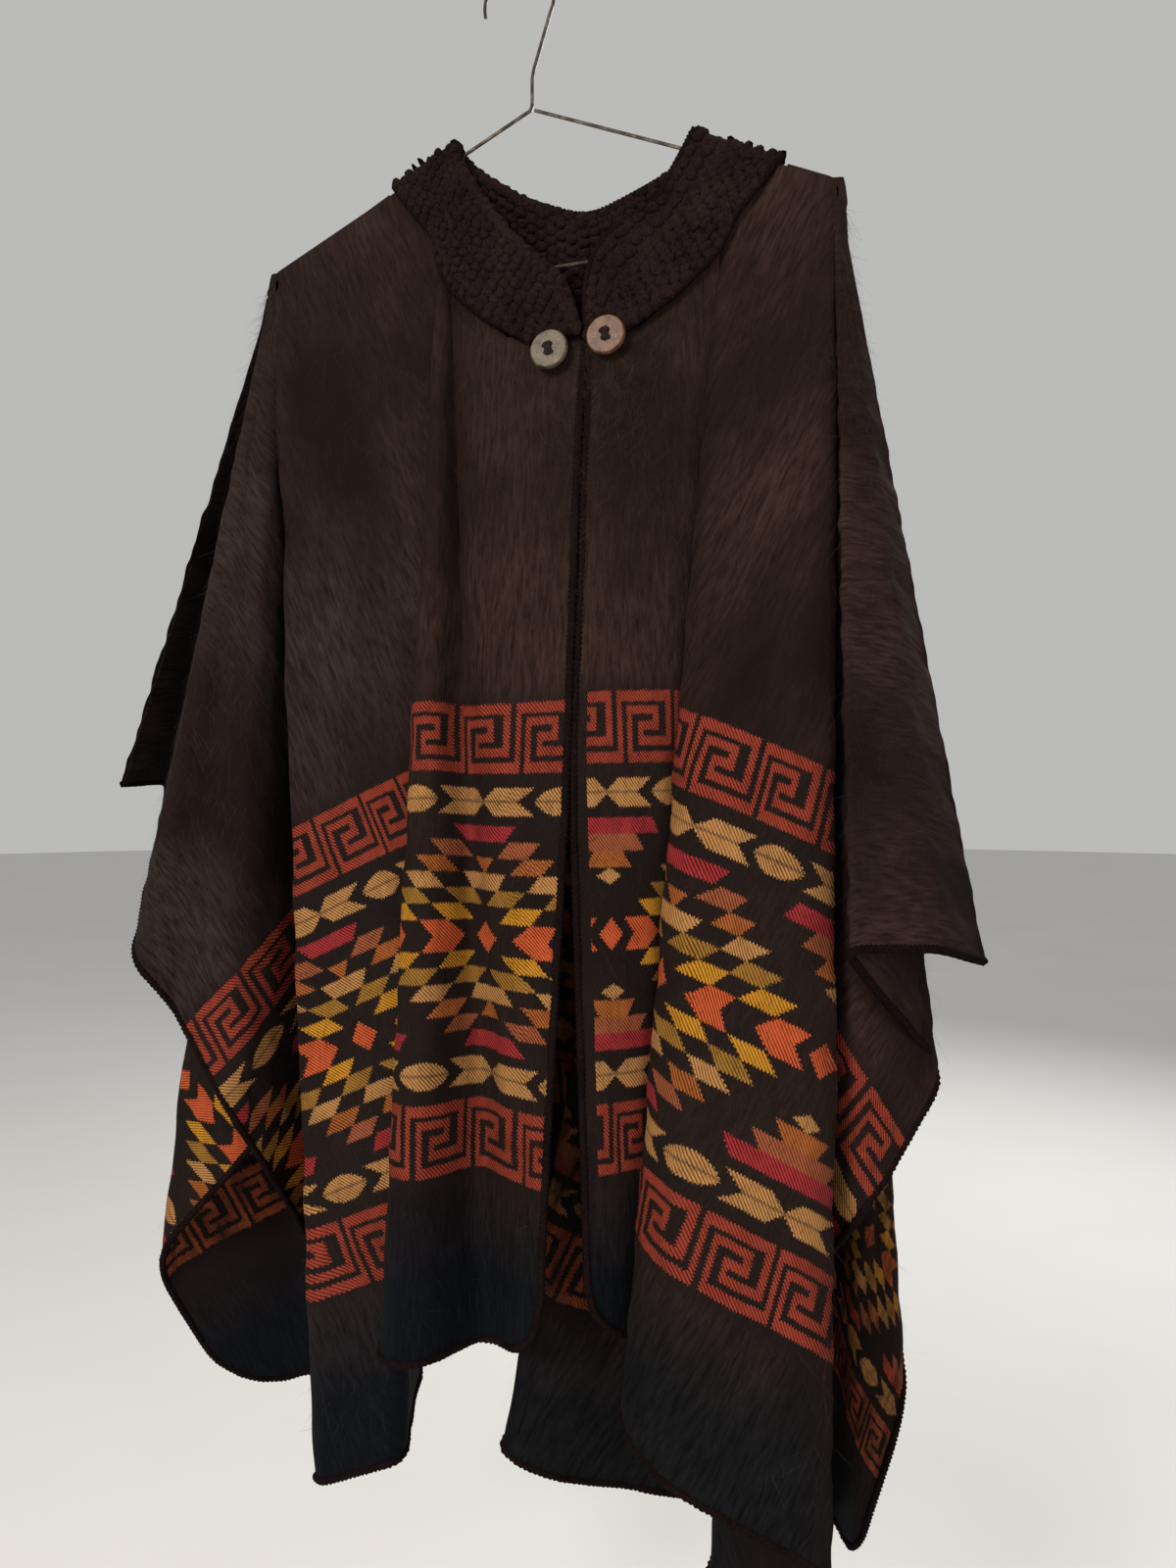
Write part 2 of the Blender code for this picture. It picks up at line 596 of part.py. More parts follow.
def main():
    clear_scene()
    poncho = bpy.data.collections.new("andean_poncho")
    cutters = bpy.data.collections.new("cutters")
    for collection in (poncho, cutters):
        bpy.context.scene.collection.children.link(collection)
    wool = material("brushed_wool", (0.030, 0.025, 0.023), 0.95)
    knit = material("bobble_knit", (0.022, 0.019, 0.018), 0.95)
    shell = material("coconut_shell", (0.42, 0.30, 0.17), 0.40)
    steel = material("painted_wire", (0.10, 0.09, 0.08), 0.35, 0.6)
    for name in PANELS:
        sheet_object(name, drape(name, LINE_STEP, ROWS_BELOW_START)[2], CLOTH, poncho, wool)
    sheet_object("collar", collar_grid(), COLLAR_WALL, poncho, knit)
    for name, u, v, spin in BUTTONS:
        centre, facing = button_place(u, v)
        button(name, centre, facing, math.radians(spin), poncho, shell, cutters)
    wire_object("hanger", hanger_points(), WIRE_RADIUS, poncho, steel)


main()
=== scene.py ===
"""Looks of an andean poncho on a wire hanger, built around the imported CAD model.

Metres, +Z up, the garment's front towards -Y, the origin at the inner top of the hanger's hook.
The cloth shells repeat the ruled surfaces of the CAD panels with finer steps, and carry the woven
border as a pattern that is worked out in the material from places in the cloth.
"""

import functools
import math

import bpy
import numpy as np
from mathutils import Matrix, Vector

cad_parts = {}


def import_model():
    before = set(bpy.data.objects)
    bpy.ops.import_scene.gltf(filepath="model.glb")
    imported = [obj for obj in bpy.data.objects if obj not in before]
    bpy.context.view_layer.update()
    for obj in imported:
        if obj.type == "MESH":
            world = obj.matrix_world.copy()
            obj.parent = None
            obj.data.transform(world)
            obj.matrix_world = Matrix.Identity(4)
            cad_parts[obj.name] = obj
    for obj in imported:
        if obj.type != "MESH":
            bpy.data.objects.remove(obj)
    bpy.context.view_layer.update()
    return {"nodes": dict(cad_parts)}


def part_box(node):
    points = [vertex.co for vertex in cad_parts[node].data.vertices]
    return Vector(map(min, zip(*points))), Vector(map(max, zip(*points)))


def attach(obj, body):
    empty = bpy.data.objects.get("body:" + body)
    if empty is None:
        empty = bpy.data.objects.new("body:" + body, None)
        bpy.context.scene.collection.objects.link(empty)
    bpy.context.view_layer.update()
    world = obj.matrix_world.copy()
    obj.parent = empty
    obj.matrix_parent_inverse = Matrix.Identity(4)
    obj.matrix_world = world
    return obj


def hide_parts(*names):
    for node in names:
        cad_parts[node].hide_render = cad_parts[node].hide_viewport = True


# ---------------- the hanging cloth, as in the CAD

WIRE_RADIUS = 0.0013
ARM_SLOPE = math.radians(23.5)
ARM_LENGTH = 0.2317
APEX_Z = -0.105
BAR_BELOW_TIPS = 0.023
HALF_WIDTH = 0.71
HALF_LENGTH = 0.84
HEM_CORNER_RADIUS = 0.07
SLIT_CORNER_RADIUS = 0.045
NECK_HALF = 0.115
NECK_DROP_FRONT = 0.14
NECK_DROP_BACK = 0.055
SLID_RIGHT = 0.042
CENTRE_ON_ARM = 0.042
CLOTH = 0.002
SEAM_GAP = 0.0003
COLLAR_WALL = 0.0035
COLLAR_OFF_PANEL = 0.0034
COLLAR_RIDGE = 0.004
COLLAR_LAP = 0.005
COLLAR_WIDTH_BACK = 0.050
COLLAR_WIDTH_SHOULDER = 0.046
COLLAR_NARROWER_RIGHT = 0.008
COLLAR_END_V = 0.144
COLLAR_ROWS = np.array([0.0, 0.25, 0.5, 0.75, 1.0])
PANELS = ("front_left", "front_right", "back")

# Straight lines of the hanging cloth, by where they leave the hanger: the direction in the flat cloth
# in degrees from the shoulder fold, how far the line leans to +X and to +Y for each metre and, where
# small waves shorten it, the length that they leave of it.
FRONT_LEFT = {
    "neck": (
        (129.4, 0.628, -0.080),
        (105.0, 0.248, -0.088),
        (97.8, 0.112, -0.068),
        (94.0, 0.058, -0.022),
        (92.0, 0.036, -0.034),
        (89.0, 0.026, -0.112),
        (87.0, -0.015, -0.098),
        (79.0, -0.043, 0.050),
        (74.3, -0.055, -0.024),
        (69.5, -0.050, 0.050),
        (64.7, -0.020, -0.050),
    ),
    "tip": (
        (71.0, 0.072, -0.048, 1.01),
        (59.4, 0.000, 0.130),
        (48.0, -0.028, -0.047, 0.99),
        (41.4, -0.115, -0.057, 0.98),
        (35.5, -0.169, -0.096),
        (6.6, -0.415, 0.221),
        (0.0, -0.434, 0.108),
    ),
}
FRONT_RIGHT = {
    "neck": (
        (139.6, -0.632, -0.080),
        (120.0, -0.418, -0.088),
        (105.0, -0.222, -0.090),
        (98.2, -0.112, -0.042),
        (95.6, -0.083, 0.000),
        (91.3, -0.058, 0.038),
        (87.0, -0.068, -0.040),
        (82.7, -0.052, 0.036),
        (78.5, -0.070, -0.040),
        (74.2, -0.056, 0.034),
        (70.0, -0.090, -0.032),
        (67.5, -0.030, -0.071),
    ),
    "tip": (
        (65.0, 0.011, -0.049),
        (57.5, -0.095, -0.033),
        (49.0, -0.070, 0.070),
        (39.0, 0.024, -0.023),
        (29.0, 0.118, 0.072, 0.98),
        (16.0, 0.028, -0.126, 0.91),
        (7.0, 0.135, -0.020, 0.95),
        (0.0, 0.175, 0.103),
    ),
}
BACK = {
    "left tip": (
        (0.0, -0.434, 0.108),
        (9.0, -0.480, 0.258),
        (17.7, -0.386, 0.290),
        (39.0, -0.161, -0.010),
        (48.0, -0.026, 0.044),
        (51.0, -0.059, 0.009),
        (57.0, -0.173, 0.030),
        (61.0, -0.127, 0.078),
        (66.0, -0.052, 0.120),
    ),
    "left neck": (
        (66.0, -0.039, 0.114),
        (73.0, -0.024, 0.224),
        (80.0, 0.005, 0.108),
        (86.0, 0.020, 0.218),
        (90.0, 0.021, 0.155),
    ),
    "mid neck": (
        (90.0, 0.000, 0.250),
    ),
    "right neck": (
        (90.0, -0.077, 0.132),
        (83.6, -0.110, 0.086),
        (76.4, -0.198, -0.014),
        (73.2, -0.140, -0.014),
        (71.5, -0.105, 0.029),
        (68.6, -0.034, 0.060),
    ),
    "right tip": (
        (68.0, -0.029, 0.124),
        (63.0, -0.024, 0.180),
        (58.0, 0.000, 0.130),
        (52.0, 0.054, 0.130),
        (40.5, -0.003, 0.316),
        (30.0, 0.103, 0.162),
        (18.0, 0.016, 0.354),
        (10.0, 0.136, 0.280),
        (0.0, 0.175, 0.103),
    ),
}

# Stations of the collar: u, v, turn of its width, width out, width in, rise of its inner edge
COLLAR = (
    (-0.003, 0.1440, 180.0, 0.036, 0.001, 0.000),
    (-0.025, 0.1096, 160.0, 0.050, 0.012, 0.000),
    (-0.042, 0.0882, 152.0, 0.051, 0.006, 0.000),
    (-0.060, 0.0670, 144.0, 0.052, 0.002, 0.000),
    (-0.095, 0.0243, 146.0, 0.050, 0.006, 0.000),
    (-0.115, 0.0000, 180.0, 0.046, 0.010, 0.000),
    (-0.100, -0.0044, 226.0, 0.048, 0.004, 0.001),
    (-0.060, -0.0163, 256.0, 0.052, 0.000, 0.002),
    (0.000, -0.0340, 270.0, 0.054, 0.000, 0.015),
    (0.060, 0.0057, 296.0, 0.052, 0.000, 0.013),
    (0.100, 0.0321, 322.0, 0.044, 0.016, 0.004),
    (0.115, 0.0420, 360.0, 0.038, 0.028, 0.000),
    (0.095, 0.0590, 402.0, 0.042, 0.026, 0.000),
    (0.074, 0.0770, 407.0, 0.043, 0.018, 0.000),
    (0.060, 0.0889, 410.0, 0.044, 0.031, 0.000),
    (0.046, 0.1010, 400.0, 0.044, 0.040, 0.000),
    (0.025, 0.1187, 386.0, 0.042, 0.024, 0.000),
    (0.003, 0.1440, 360.0, 0.032, 0.001, 0.000),
)

# How softly the lines bend into each other along the panel, below and near the hanger
SHARP_WIDTH = 0.016
BROAD_WIDTH = 0.090
OUTWARD_WIDTH = 0.035
ANGLE_SHARE = 0.80
FOLDS_START = 0.010
FOLDS_FULL = 0.150
SHOULDER_ROLL = 0.0052
ROLL_DEPTH = 0.006
BESIDE_WIRE = WIRE_RADIUS + SEAM_GAP + CLOTH / 2 + 0.0011
AT_FOLD = (CLOTH + SEAM_GAP) / 2 + 0.0001
WIDER_UNDER_COLLAR = 0.0014
COLLAR_LIES_OUT_TO = 0.045
DRAWN_BY = 0.3
FREE_BELOW_BAR = 0.11
SWING = 0.22
# The cloth beyond the hanger's tips: over what length that starts, up to what angle from the shoulder
# fold and how it fades to there, how far down it starts, and how much nearer the middle it may lie
PAST_TIP_OVER = 0.006
PAST_TIP_TO = math.radians(32)
PAST_TIP_FADE = math.radians(16)
PAST_TIP_DOWN = (0.010, 0.030)
PAST_TIP_NEARER = 0.3
# How far down the lines a panel's outward direction is worked out
OUTWARD_AT = 0.4


def arm_point(along):
    """A point of the shoulder line, along the left (-) or the right (+) arm from the apex."""
    x = along * math.cos(ARM_SLOPE)
    z = APEX_Z - abs(along) * math.sin(ARM_SLOPE)
    return np.array([x, 0.0, z])


def start_of(place, front):
    """The cloth point (u, v) and the point in space where a line leaves the hanger."""
    side = -1 if "left" in place else 1
    slid = SLID_RIGHT * (1 if front else -1)
    if "mid" in place:
        between = (start_of("left neck", False)[1] + start_of("right neck", False)[1]) / 2
        return (0.0, NECK_DROP_BACK + slid / 2), between - [0, 0, NECK_DROP_BACK]
    u = side * NECK_HALF if "neck" in place else side * ARM_LENGTH - CENTRE_ON_ARM
    return (u, slid if side > 0 else 0.0), arm_point(u + CENTRE_ON_ARM)


def lines_of(table, prefix, front):
    """One row for each line: u, v, angle from +u, x, y, z, side, back, drawn."""
    rows = []
    for place, lines in table.items():
        (u, v), point = start_of(prefix + place, front)
        for angle, side, back, *drawn in lines:
            turn = math.radians(180 - angle if "left" in prefix + place else angle)
            rows.append((u, v, turn, *point, side, back, *(drawn or (1.0,))))
    return np.array(rows)


BELL = np.linspace(-2.6, 2.6, 27)
CORNER_PASSES = 60
CORNER_SHARE = 0.6


def softened(values, at, t, width):
    """The values along t, averaged over a bell of this width, with the two ends kept."""
    total = np.zeros(len(at))
    weights = 0.0
    for k in BELL:
        q = at + k * width
        value = np.interp(q, t, values)
        value = np.where(q < 0, 2 * values[0] - np.interp(-q, t, values), value)
        beyond = 2 * values[-1] - np.interp(2 * t[-1] - q, t, values)
        value = np.where(q > t[-1], beyond, value)
        weight = math.exp(-k * k / 2)
        total += weight * value
        weights += weight
    return total / weights


def outside_corner(du, dv, radius):
    """How far a point lies outside a corner that is rounded to this radius."""
    beyond = np.maximum(np.hypot(du, dv) - radius, 0)
    return np.where((du > 0) & (dv > 0), beyond, 0)


def reach(u, v, turn, front):
    """The length of each line, from its start to the edge of the cloth."""
    across = np.cos(turn)
    down = np.maximum(np.sin(turn), 1e-6)
    room = np.where(across >= 0, HALF_WIDTH - u, HALF_WIDTH + u)
    length = np.minimum(room / np.maximum(np.abs(across), 1e-6), (HALF_LENGTH - v) / down)
    if front:
        to_slit = np.abs(u) / np.maximum(np.abs(across), 1e-6)
        length = np.where(u * across < -1e-9, np.minimum(length, to_slit), length)
    hem = HALF_LENGTH - HEM_CORNER_RADIUS
    slit_hem = HALF_LENGTH - SLIT_CORNER_RADIUS
    for _ in range(CORNER_PASSES):
        pu = np.abs(u + length * across)
        pv = v + length * down
        over = outside_corner(pu - HALF_WIDTH + HEM_CORNER_RADIUS, pv - hem, HEM_CORNER_RADIUS)
        if front:
            over = over + outside_corner(SLIT_CORNER_RADIUS - pu, pv - slit_hem, SLIT_CORNER_RADIUS)
        length = length - CORNER_SHARE * over
    return length


def collar_cut(u, v, turn, whole, front):
    """Where the panel starts on each line: at the collar's outer edge, less the lap under it."""
    side = np.where(u < 0, -1.0, 1.0)
    fold = np.where(u < 0, 0.0, SLID_RIGHT) * (1 if front else -1)
    end_v = NECK_DROP_FRONT if front else NECK_DROP_BACK - SLID_RIGHT / 2
    cut = np.zeros(len(u))
    edge_u = side * NECK_HALF
    along = np.hypot(edge_u, end_v - fold)
    for r in np.linspace(0, 0.25, 251):
        pu = u + r * np.cos(turn)
        pv = v + r * np.sin(turn)
        share = ((edge_u - pu) * edge_u + (pv - fold) * (end_v - fold)) / along**2
        share = np.clip(share, 0, 1)
        away = np.hypot(pu - edge_u * (1 - share), pv - fold - share * (end_v - fold))
        at_shoulder = COLLAR_WIDTH_SHOULDER if front else COLLAR_WIDTH_BACK
        width = np.interp(share, [0, 1], [at_shoulder, COLLAR_WIDTH_BACK]) - COLLAR_LAP
        width = np.where(side > 0, width - COLLAR_NARROWER_RIGHT, width)
        under = away < width
        if front:
            under = under & (pv < COLLAR_END_V - COLLAR_LAP)
        cut = np.where(under, r, cut)
    return np.minimum(cut, whole - 0.006)


def smooth_step(x):
    """0 up to 0 and 1 from 1 on, level at both."""
    x = np.clip(x, 0, 1)
    return x * x * (3 - 2 * x)


def rises(x, start, length):
    """0 up to the start and 1 from a length past it, softly."""
    return smooth_step((x - start) / length)


def lengths(vectors):
    return np.linalg.norm(vectors, axis=-1)


def unit(vectors, least=1e-9):
    """The vectors along the last axis, made one long."""
    return vectors / np.maximum(lengths(vectors)[..., None], least)


def summed(steps):
    """The running total of the steps, from 0."""
    return np.concatenate([[0], np.cumsum(steps)])


def lengths_along(path):
    """How far each point of a path lies from its start."""
    return summed(lengths(np.diff(path, axis=0)))


def interpolated(at, t, rows):
    """The rows of numbers given along t, read at other places along it."""
    columns = rows.reshape(len(rows), -1).T
    found = np.stack([np.interp(at, t, column) for column in columns], -1)
    return found.reshape(len(at), *rows.shape[1:])


def outward_of(front_left, front, x, side, back, at):
    """The outward direction of each line in plan, from the panel's broad form."""
    along_x = np.gradient(x + OUTWARD_AT * side, at)
    along_y = np.gradient(OUTWARD_AT * back, at)
    size = np.maximum(np.hypot(along_x, along_y), 1e-9)
    sign = -1.0 if front_left else 1.0
    if not front:
        sign = -sign
    return along_y / size * sign, -along_x / size * sign


def beyond_tip(x, from_fold, r):
    """1 on the cloth beyond the hanger's tips, by the shoulder fold, where no wire lies inside."""
    past = rises(x, arm_point(ARM_LENGTH)[0], PAST_TIP_OVER)
    by_fold = smooth_step((PAST_TIP_TO - from_fold) / PAST_TIP_FADE)
    return past * by_fold * rises(r, *PAST_TIP_DOWN)


def drape(name, step, rows, cut=True):
    """The middle surface of a panel: cloth u and v, and the points, as rows by lines."""
    front = name != "back"
    table = {"front_left": FRONT_LEFT, "front_right": FRONT_RIGHT, "back": BACK}[name]
    prefix = {"front_left": "left ", "front_right": "right ", "back": ""}[name]
    keys = lines_of(table, prefix, front)
    apart = np.abs(np.diff(keys[:, 0])) + ANGLE_SHARE * np.abs(np.diff(keys[:, 2]))
    t = summed(np.maximum(apart, 1e-4))
    at = np.linspace(SEAM_GAP / 2, t[-1] - SEAM_GAP / 2, round(t[-1] / step) + 1)
    u, v, turn, x, y, z = (np.interp(at, t, keys[:, c]) for c in range(6))
    side, back, drawn = (softened(keys[:, c], at, t, SHARP_WIDTH) for c in (6, 7, 8))
    side_broad, back_broad = (softened(keys[:, c], at, t, BROAD_WIDTH) for c in (6, 7))
    side_mid, back_mid = (softened(keys[:, c], at, t, OUTWARD_WIDTH) for c in (6, 7))
    out_x, out_y = outward_of(name == "front_left", front, x, side_mid, back_mid, at)
    whole = reach(u, v, turn, front)
    first = collar_cut(u, v, turn, whole, front) if cut else np.zeros(len(at))
    r = first + (whole - first) * np.asarray(rows)[:, None]
    grow = rises(r, FOLDS_START, FOLDS_FULL - FOLDS_START)
    side = side_broad + (side - side_broad) * grow
    back = back_broad + (back - back_broad) * grow
    down = np.sqrt(np.clip(1 - side**2 - back**2, 0.05, 1))
    length = r * (1 + (drawn - 1) * smooth_step(r / DRAWN_BY))
    px, py, pz = x + length * side, y + length * back, z - length * down
    # The cloth lies clear of the wire, and at the shoulder fold the panels meet over it.
    at_fold = r < 1e-9
    off_tip = beyond_tip(np.abs(px), np.where(u < 0, math.pi - turn, turn), r)
    gap = BESIDE_WIRE + (AT_FOLD - BESIDE_WIRE) * off_tip
    towards = -1.0 if front else 1.0
    by_neck = np.clip(1.6 - (np.abs(u) - NECK_HALF) / COLLAR_LIES_OUT_TO, 0, 1)
    fold_y = AT_FOLD + WIDER_UNDER_COLLAR * by_neck
    px = np.where(at_fold, px, px + gap * out_x)
    py = np.where(at_fold, towards * fold_y, py + gap * out_y)
    pz = pz + SHOULDER_ROLL * np.clip(1 - r / ROLL_DEPTH, 0, 1)
    free_z = arm_point(ARM_LENGTH)[2] - BAR_BELOW_TIPS - FREE_BELOW_BAR
    limit = BESIDE_WIRE - SWING * np.maximum(free_z - pz, 0) - PAST_TIP_NEARER * off_tip
    clear = np.minimum(py, -limit) if front else np.maximum(py, limit)
    py = np.where(at_fold, py, clear)
    return u + r * np.cos(turn), v + r * np.sin(turn), np.stack([px, py, pz], -1)


def triangles(grid):
    """The three corners of the two triangles in each quad of a grid."""
    quads = (grid[:-1, :-1], grid[:-1, 1:], grid[1:, 1:], grid[1:, :-1])
    a, b, c, d = (quad.reshape(-1, grid.shape[-1]) for quad in quads)
    return [np.concatenate(pair) for pair in ((a, a), (b, c), (c, d))]


def crossed(a, b):
    """The cross product of flat vectors."""
    return a[:, 0] * b[:, 1] - a[:, 1] * b[:, 0]


def point_on(panel, u, v):
    """The point in space of the cloth point (u, v), on a panel from drape()."""
    corner, second, third = triangles(np.stack(panel[:2], -1))
    points = triangles(panel[2])
    e1, e2 = second - corner, third - corner
    q = np.array([u, v]) - corner
    area = crossed(e1, e2)
    empty = np.abs(area) < 1e-12
    safe = np.where(empty, 1.0, area)
    s = crossed(q, e2) / safe
    w = crossed(e1, q) / safe
    miss = np.maximum(0, -s) + np.maximum(0, -w) + np.maximum(0, s + w - 1)
    k = int(np.argmin(np.where(empty, np.inf, miss)))
    return points[0][k] + s[k] * (points[1][k] - points[0][k]) + w[k] * (points[2][k] - points[0][k])


def averaged(grid, passes):
    """The grid with each station moved towards its two neighbours, and its ends kept."""
    for _ in range(passes):
        inner = 0.5 * grid[1:-1] + 0.25 * (grid[:-2] + grid[2:])
        grid = np.concatenate([grid[:1], inner, grid[-1:]])
    return grid


def normals_of(grid):
    """Unit normals of a grid of points."""
    along = np.gradient(grid, axis=0)
    across = np.gradient(grid, axis=1)
    return unit(np.cross(along, across), 1e-12)


# ---------------- collar surface

COLLAR_STEP = 0.015
COLLAR_TURN_STEP = 11.0
FINE_STEP = 0.012


def collar_stations():
    """The stations between those of the table, closer together where the collar turns."""
    table = np.array(COLLAR)
    apart = np.hypot(*np.diff(table[:, :2], axis=0).T) + 0.02
    t = summed(apart)
    turned = np.abs(np.diff(table[:, 2]))
    steps = np.maximum(apart / COLLAR_STEP, turned / COLLAR_TURN_STEP)
    spans = [np.linspace(a, b, int(n) + 1, endpoint=False) for a, b, n in zip(t, t[1:], steps)]
    at = np.concatenate([*spans, t[-1:]])
    return interpolated(at, t, table)


def collar_point(panels, u, v):
    """A point under the collar. The shoulder fold, at v = 0 or slid, passes over the hanger's arm."""
    fold = SLID_RIGHT if u > 0 else 0.0
    if v < fold - 1e-6:
        return point_on(panels["back"], u, -v)
    point = point_on(panels["front_left" if u < 0 else "front_right"], u, v)
    if v < fold + 1e-6:
        return point * [1, 0, 1] + [0, 0, COLLAR_RIDGE]
    return point


def collar_grid():
    """The middle surface of the collar, stations by rows from the inner to the outer edge."""
    rows = (*np.linspace(0, 0.24, 31), 0.35, 0.6, 1)
    panels = {name: drape(name, FINE_STEP, rows, cut=False) for name in PANELS}
    grid = []
    over_arms = []
    for k, (u, v, turn, out, into, rise) in enumerate(collar_stations()):
        across = math.cos(math.radians(turn))
        down = math.sin(math.radians(turn))
        shares = out * COLLAR_ROWS
        lying = [collar_point(panels, u + share * across, v + share * down) for share in shares]
        inward = (lying[0] - lying[2]) * [1, 0, 1]
        reach_in = into * inward / np.linalg.norm(inward) + [0, 0, rise]
        grid.append([lying[0] + reach_in, lying[0] + reach_in / 2, *lying])
        if abs(u) > NECK_HALF - 1e-6:
            over_arms.append(k)
    grid = np.array(grid)
    left, right = over_arms
    stretches = (grid[: left + 1], grid[left : right + 1], grid[right:])
    smooth = [averaged(stretch, 4) for stretch in stretches]
    grid = np.concatenate([smooth[0][:-1], smooth[1][:-1], smooth[2]])
    outward = normals_of(grid)
    if outward[2, 3, 1] > 0:
        outward = -outward
    lift = CLOTH / 2 + COLLAR_OFF_PANEL + COLLAR_WALL / 2
    outward = averaged(outward, 2)
    return grid + lift * outward, outward


# ---------------- where the woven border lies

# Pattern places are metres in the weave: p runs across, and its figures repeat every 0.25 m about
# the axes at PATTERN_AXIS; q runs down from the shoulder fold. Each panel has a row for each place
# where the figures are pinned on the draped cloth: u, p. Many of the u values come from a scratch
# script, which worked them out from places of figures read off the photo by eye. Down the cloth,
# front_left's pins turn into front_left_low's.
PATTERN_AXIS = -0.0625
# On the right front the weft leans, and lies higher, over a stretch of u: where that starts and the
# length over which it grows, then where it ends and the length over which it fades
WEFT_LEAN = 0.17
WEFT_LEVEL_AT = 0.457
WEFT_LEANS_FROM = (0.10, 0.12)
WEFT_LEANS_TO = (0.60, 0.10)
WEFT_RAISED_AT = (0.46, 0.55, 0.67)
WEFT_RAISED = (0.009, 0.003, 0.0)
# The border lies higher on the back's left side: by how much, and past which -u, over what length
BACK_RAISED = 0.030
BACK_RAISED_FROM = (0.50, 0.10)
# Where front_left's pins turn into front_left_low's: v where it starts, and its length
LOW_PINS_FROM = (0.50, 0.12)
LEFT_PINS = (
    (-0.7100, -0.7999), (-0.6750, -0.7705), (-0.6260, -0.7295), (-0.4900, -0.6500),
    (-0.4140, -0.5625), (-0.3600, -0.4995), (-0.1580, -0.1580),
)
PINNED = {
    "front_left": (
        *LEFT_PINS,
        (-0.1160, -0.1035), (-0.1068, -0.0925), (-0.0617, -0.0625), (-0.0217, -0.0215),
        (0.0000, 0.0040),
    ),
    "front_left_low": (
        *LEFT_PINS,
        (-0.0889, -0.0875), (-0.0582, -0.0625), (-0.0176, -0.0330), (-0.0094, -0.0215),
        (0.0000, -0.0100),
    ),
    "front_right": (
        (0.0000, 0.0320), (0.0220, 0.0625), (0.0665, 0.1290), (0.2870, 0.4375),
        (0.3062, 0.4580), (0.3142, 0.4660), (0.3232, 0.4770), (0.3390, 0.4985),
        (0.3525, 0.5110), (0.3779, 0.5357), (0.3914, 0.5490), (0.4080, 0.5665),
        (0.4404, 0.6035), (0.7100, 0.8100),
    ),
    "back": (
        (-0.7100, -0.7745), (-0.6586, -0.7180), (-0.1000, -0.1000), (0.1000, 0.1000),
        (0.7100, 0.8200),
    ),
}

# ---------------- finer steps of the shells

SHELL_STEP = 0.0062
SHELL_ROWS = 132
SHELL_HALF = 0.0008
NEAR_TOP = (0, 0.0022, 0.0048, 0.009, 0.015)
CREASE_BEND = 0.35
RIPPLE_STARTS = 0.03
RIPPLE_FULL = 0.20

# Soft creases: u and v of one end, u and v of the other, half width, height
CREASES = {
    "front_left": (
        (-0.150, 0.10, -0.225, 0.36, 0.016, -0.0022),
        (-0.070, 0.17, -0.100, 0.40, 0.020, 0.0018),
        (-0.260, 0.07, -0.400, 0.26, 0.014, -0.0024),
        (-0.270, 0.05, -0.520, 0.17, 0.018, 0.0020),
        (-0.030, 0.22, -0.045, 0.52, 0.013, -0.0014),
        (-0.390, 0.40, -0.420, 0.66, 0.015, 0.0016),
        (-0.560, 0.20, -0.640, 0.46, 0.020, -0.0026),
        (-0.070, 0.60, -0.090, 0.80, 0.018, -0.0022),
        (-0.440, 0.62, -0.450, 0.83, 0.014, 0.0022),
    ),
    "front_right": (
        (0.060, 0.17, 0.045, 0.44, 0.015, -0.0017),
        (0.200, 0.12, 0.290, 0.38, 0.018, -0.0024),
        (0.240, 0.10, 0.380, 0.30, 0.015, 0.0020),
        (0.320, 0.36, 0.350, 0.66, 0.016, -0.0018),
        (0.420, 0.48, 0.440, 0.80, 0.020, 0.0024),
        (0.260, 0.06, 0.480, 0.14, 0.012, -0.0020),
        (0.500, 0.20, 0.560, 0.48, 0.020, 0.0026),
        (0.330, 0.66, 0.340, 0.83, 0.013, -0.0020),
    ),
    "back": (
        (-0.260, 0.08, -0.420, 0.30, 0.018, 0.0026),
        (-0.200, 0.12, -0.180, 0.46, 0.020, -0.0024),
        (-0.060, 0.14, -0.080, 0.52, 0.024, 0.0024),
        (0.050, 0.12, 0.020, 0.40, 0.017, -0.0022),
        (0.170, 0.10, 0.210, 0.50, 0.022, 0.0026),
        (0.270, 0.08, 0.440, 0.34, 0.016, -0.0026),
        (-0.500, 0.30, -0.540, 0.70, 0.022, -0.0030),
        (0.500, 0.30, 0.560, 0.66, 0.024, 0.0030),
        (-0.120, 0.58, -0.150, 0.82, 0.018, 0.0028),
        (0.110, 0.56, 0.130, 0.80, 0.020, -0.0026),
        (0.330, 0.60, 0.320, 0.83, 0.016, 0.0022),
    ),
}

# Slow waves over the whole cloth: across, down (per metre), height, phase
WAVES = (
    (23.0, 3.1, 0.00050, 0.3),
    (41.0, -5.2, 0.00034, 1.9),
    (9.0, 17.0, 0.00042, 4.1),
    (67.0, 11.0, 0.00020, 2.2),
    (31.0, 29.0, 0.00024, 5.0),
)


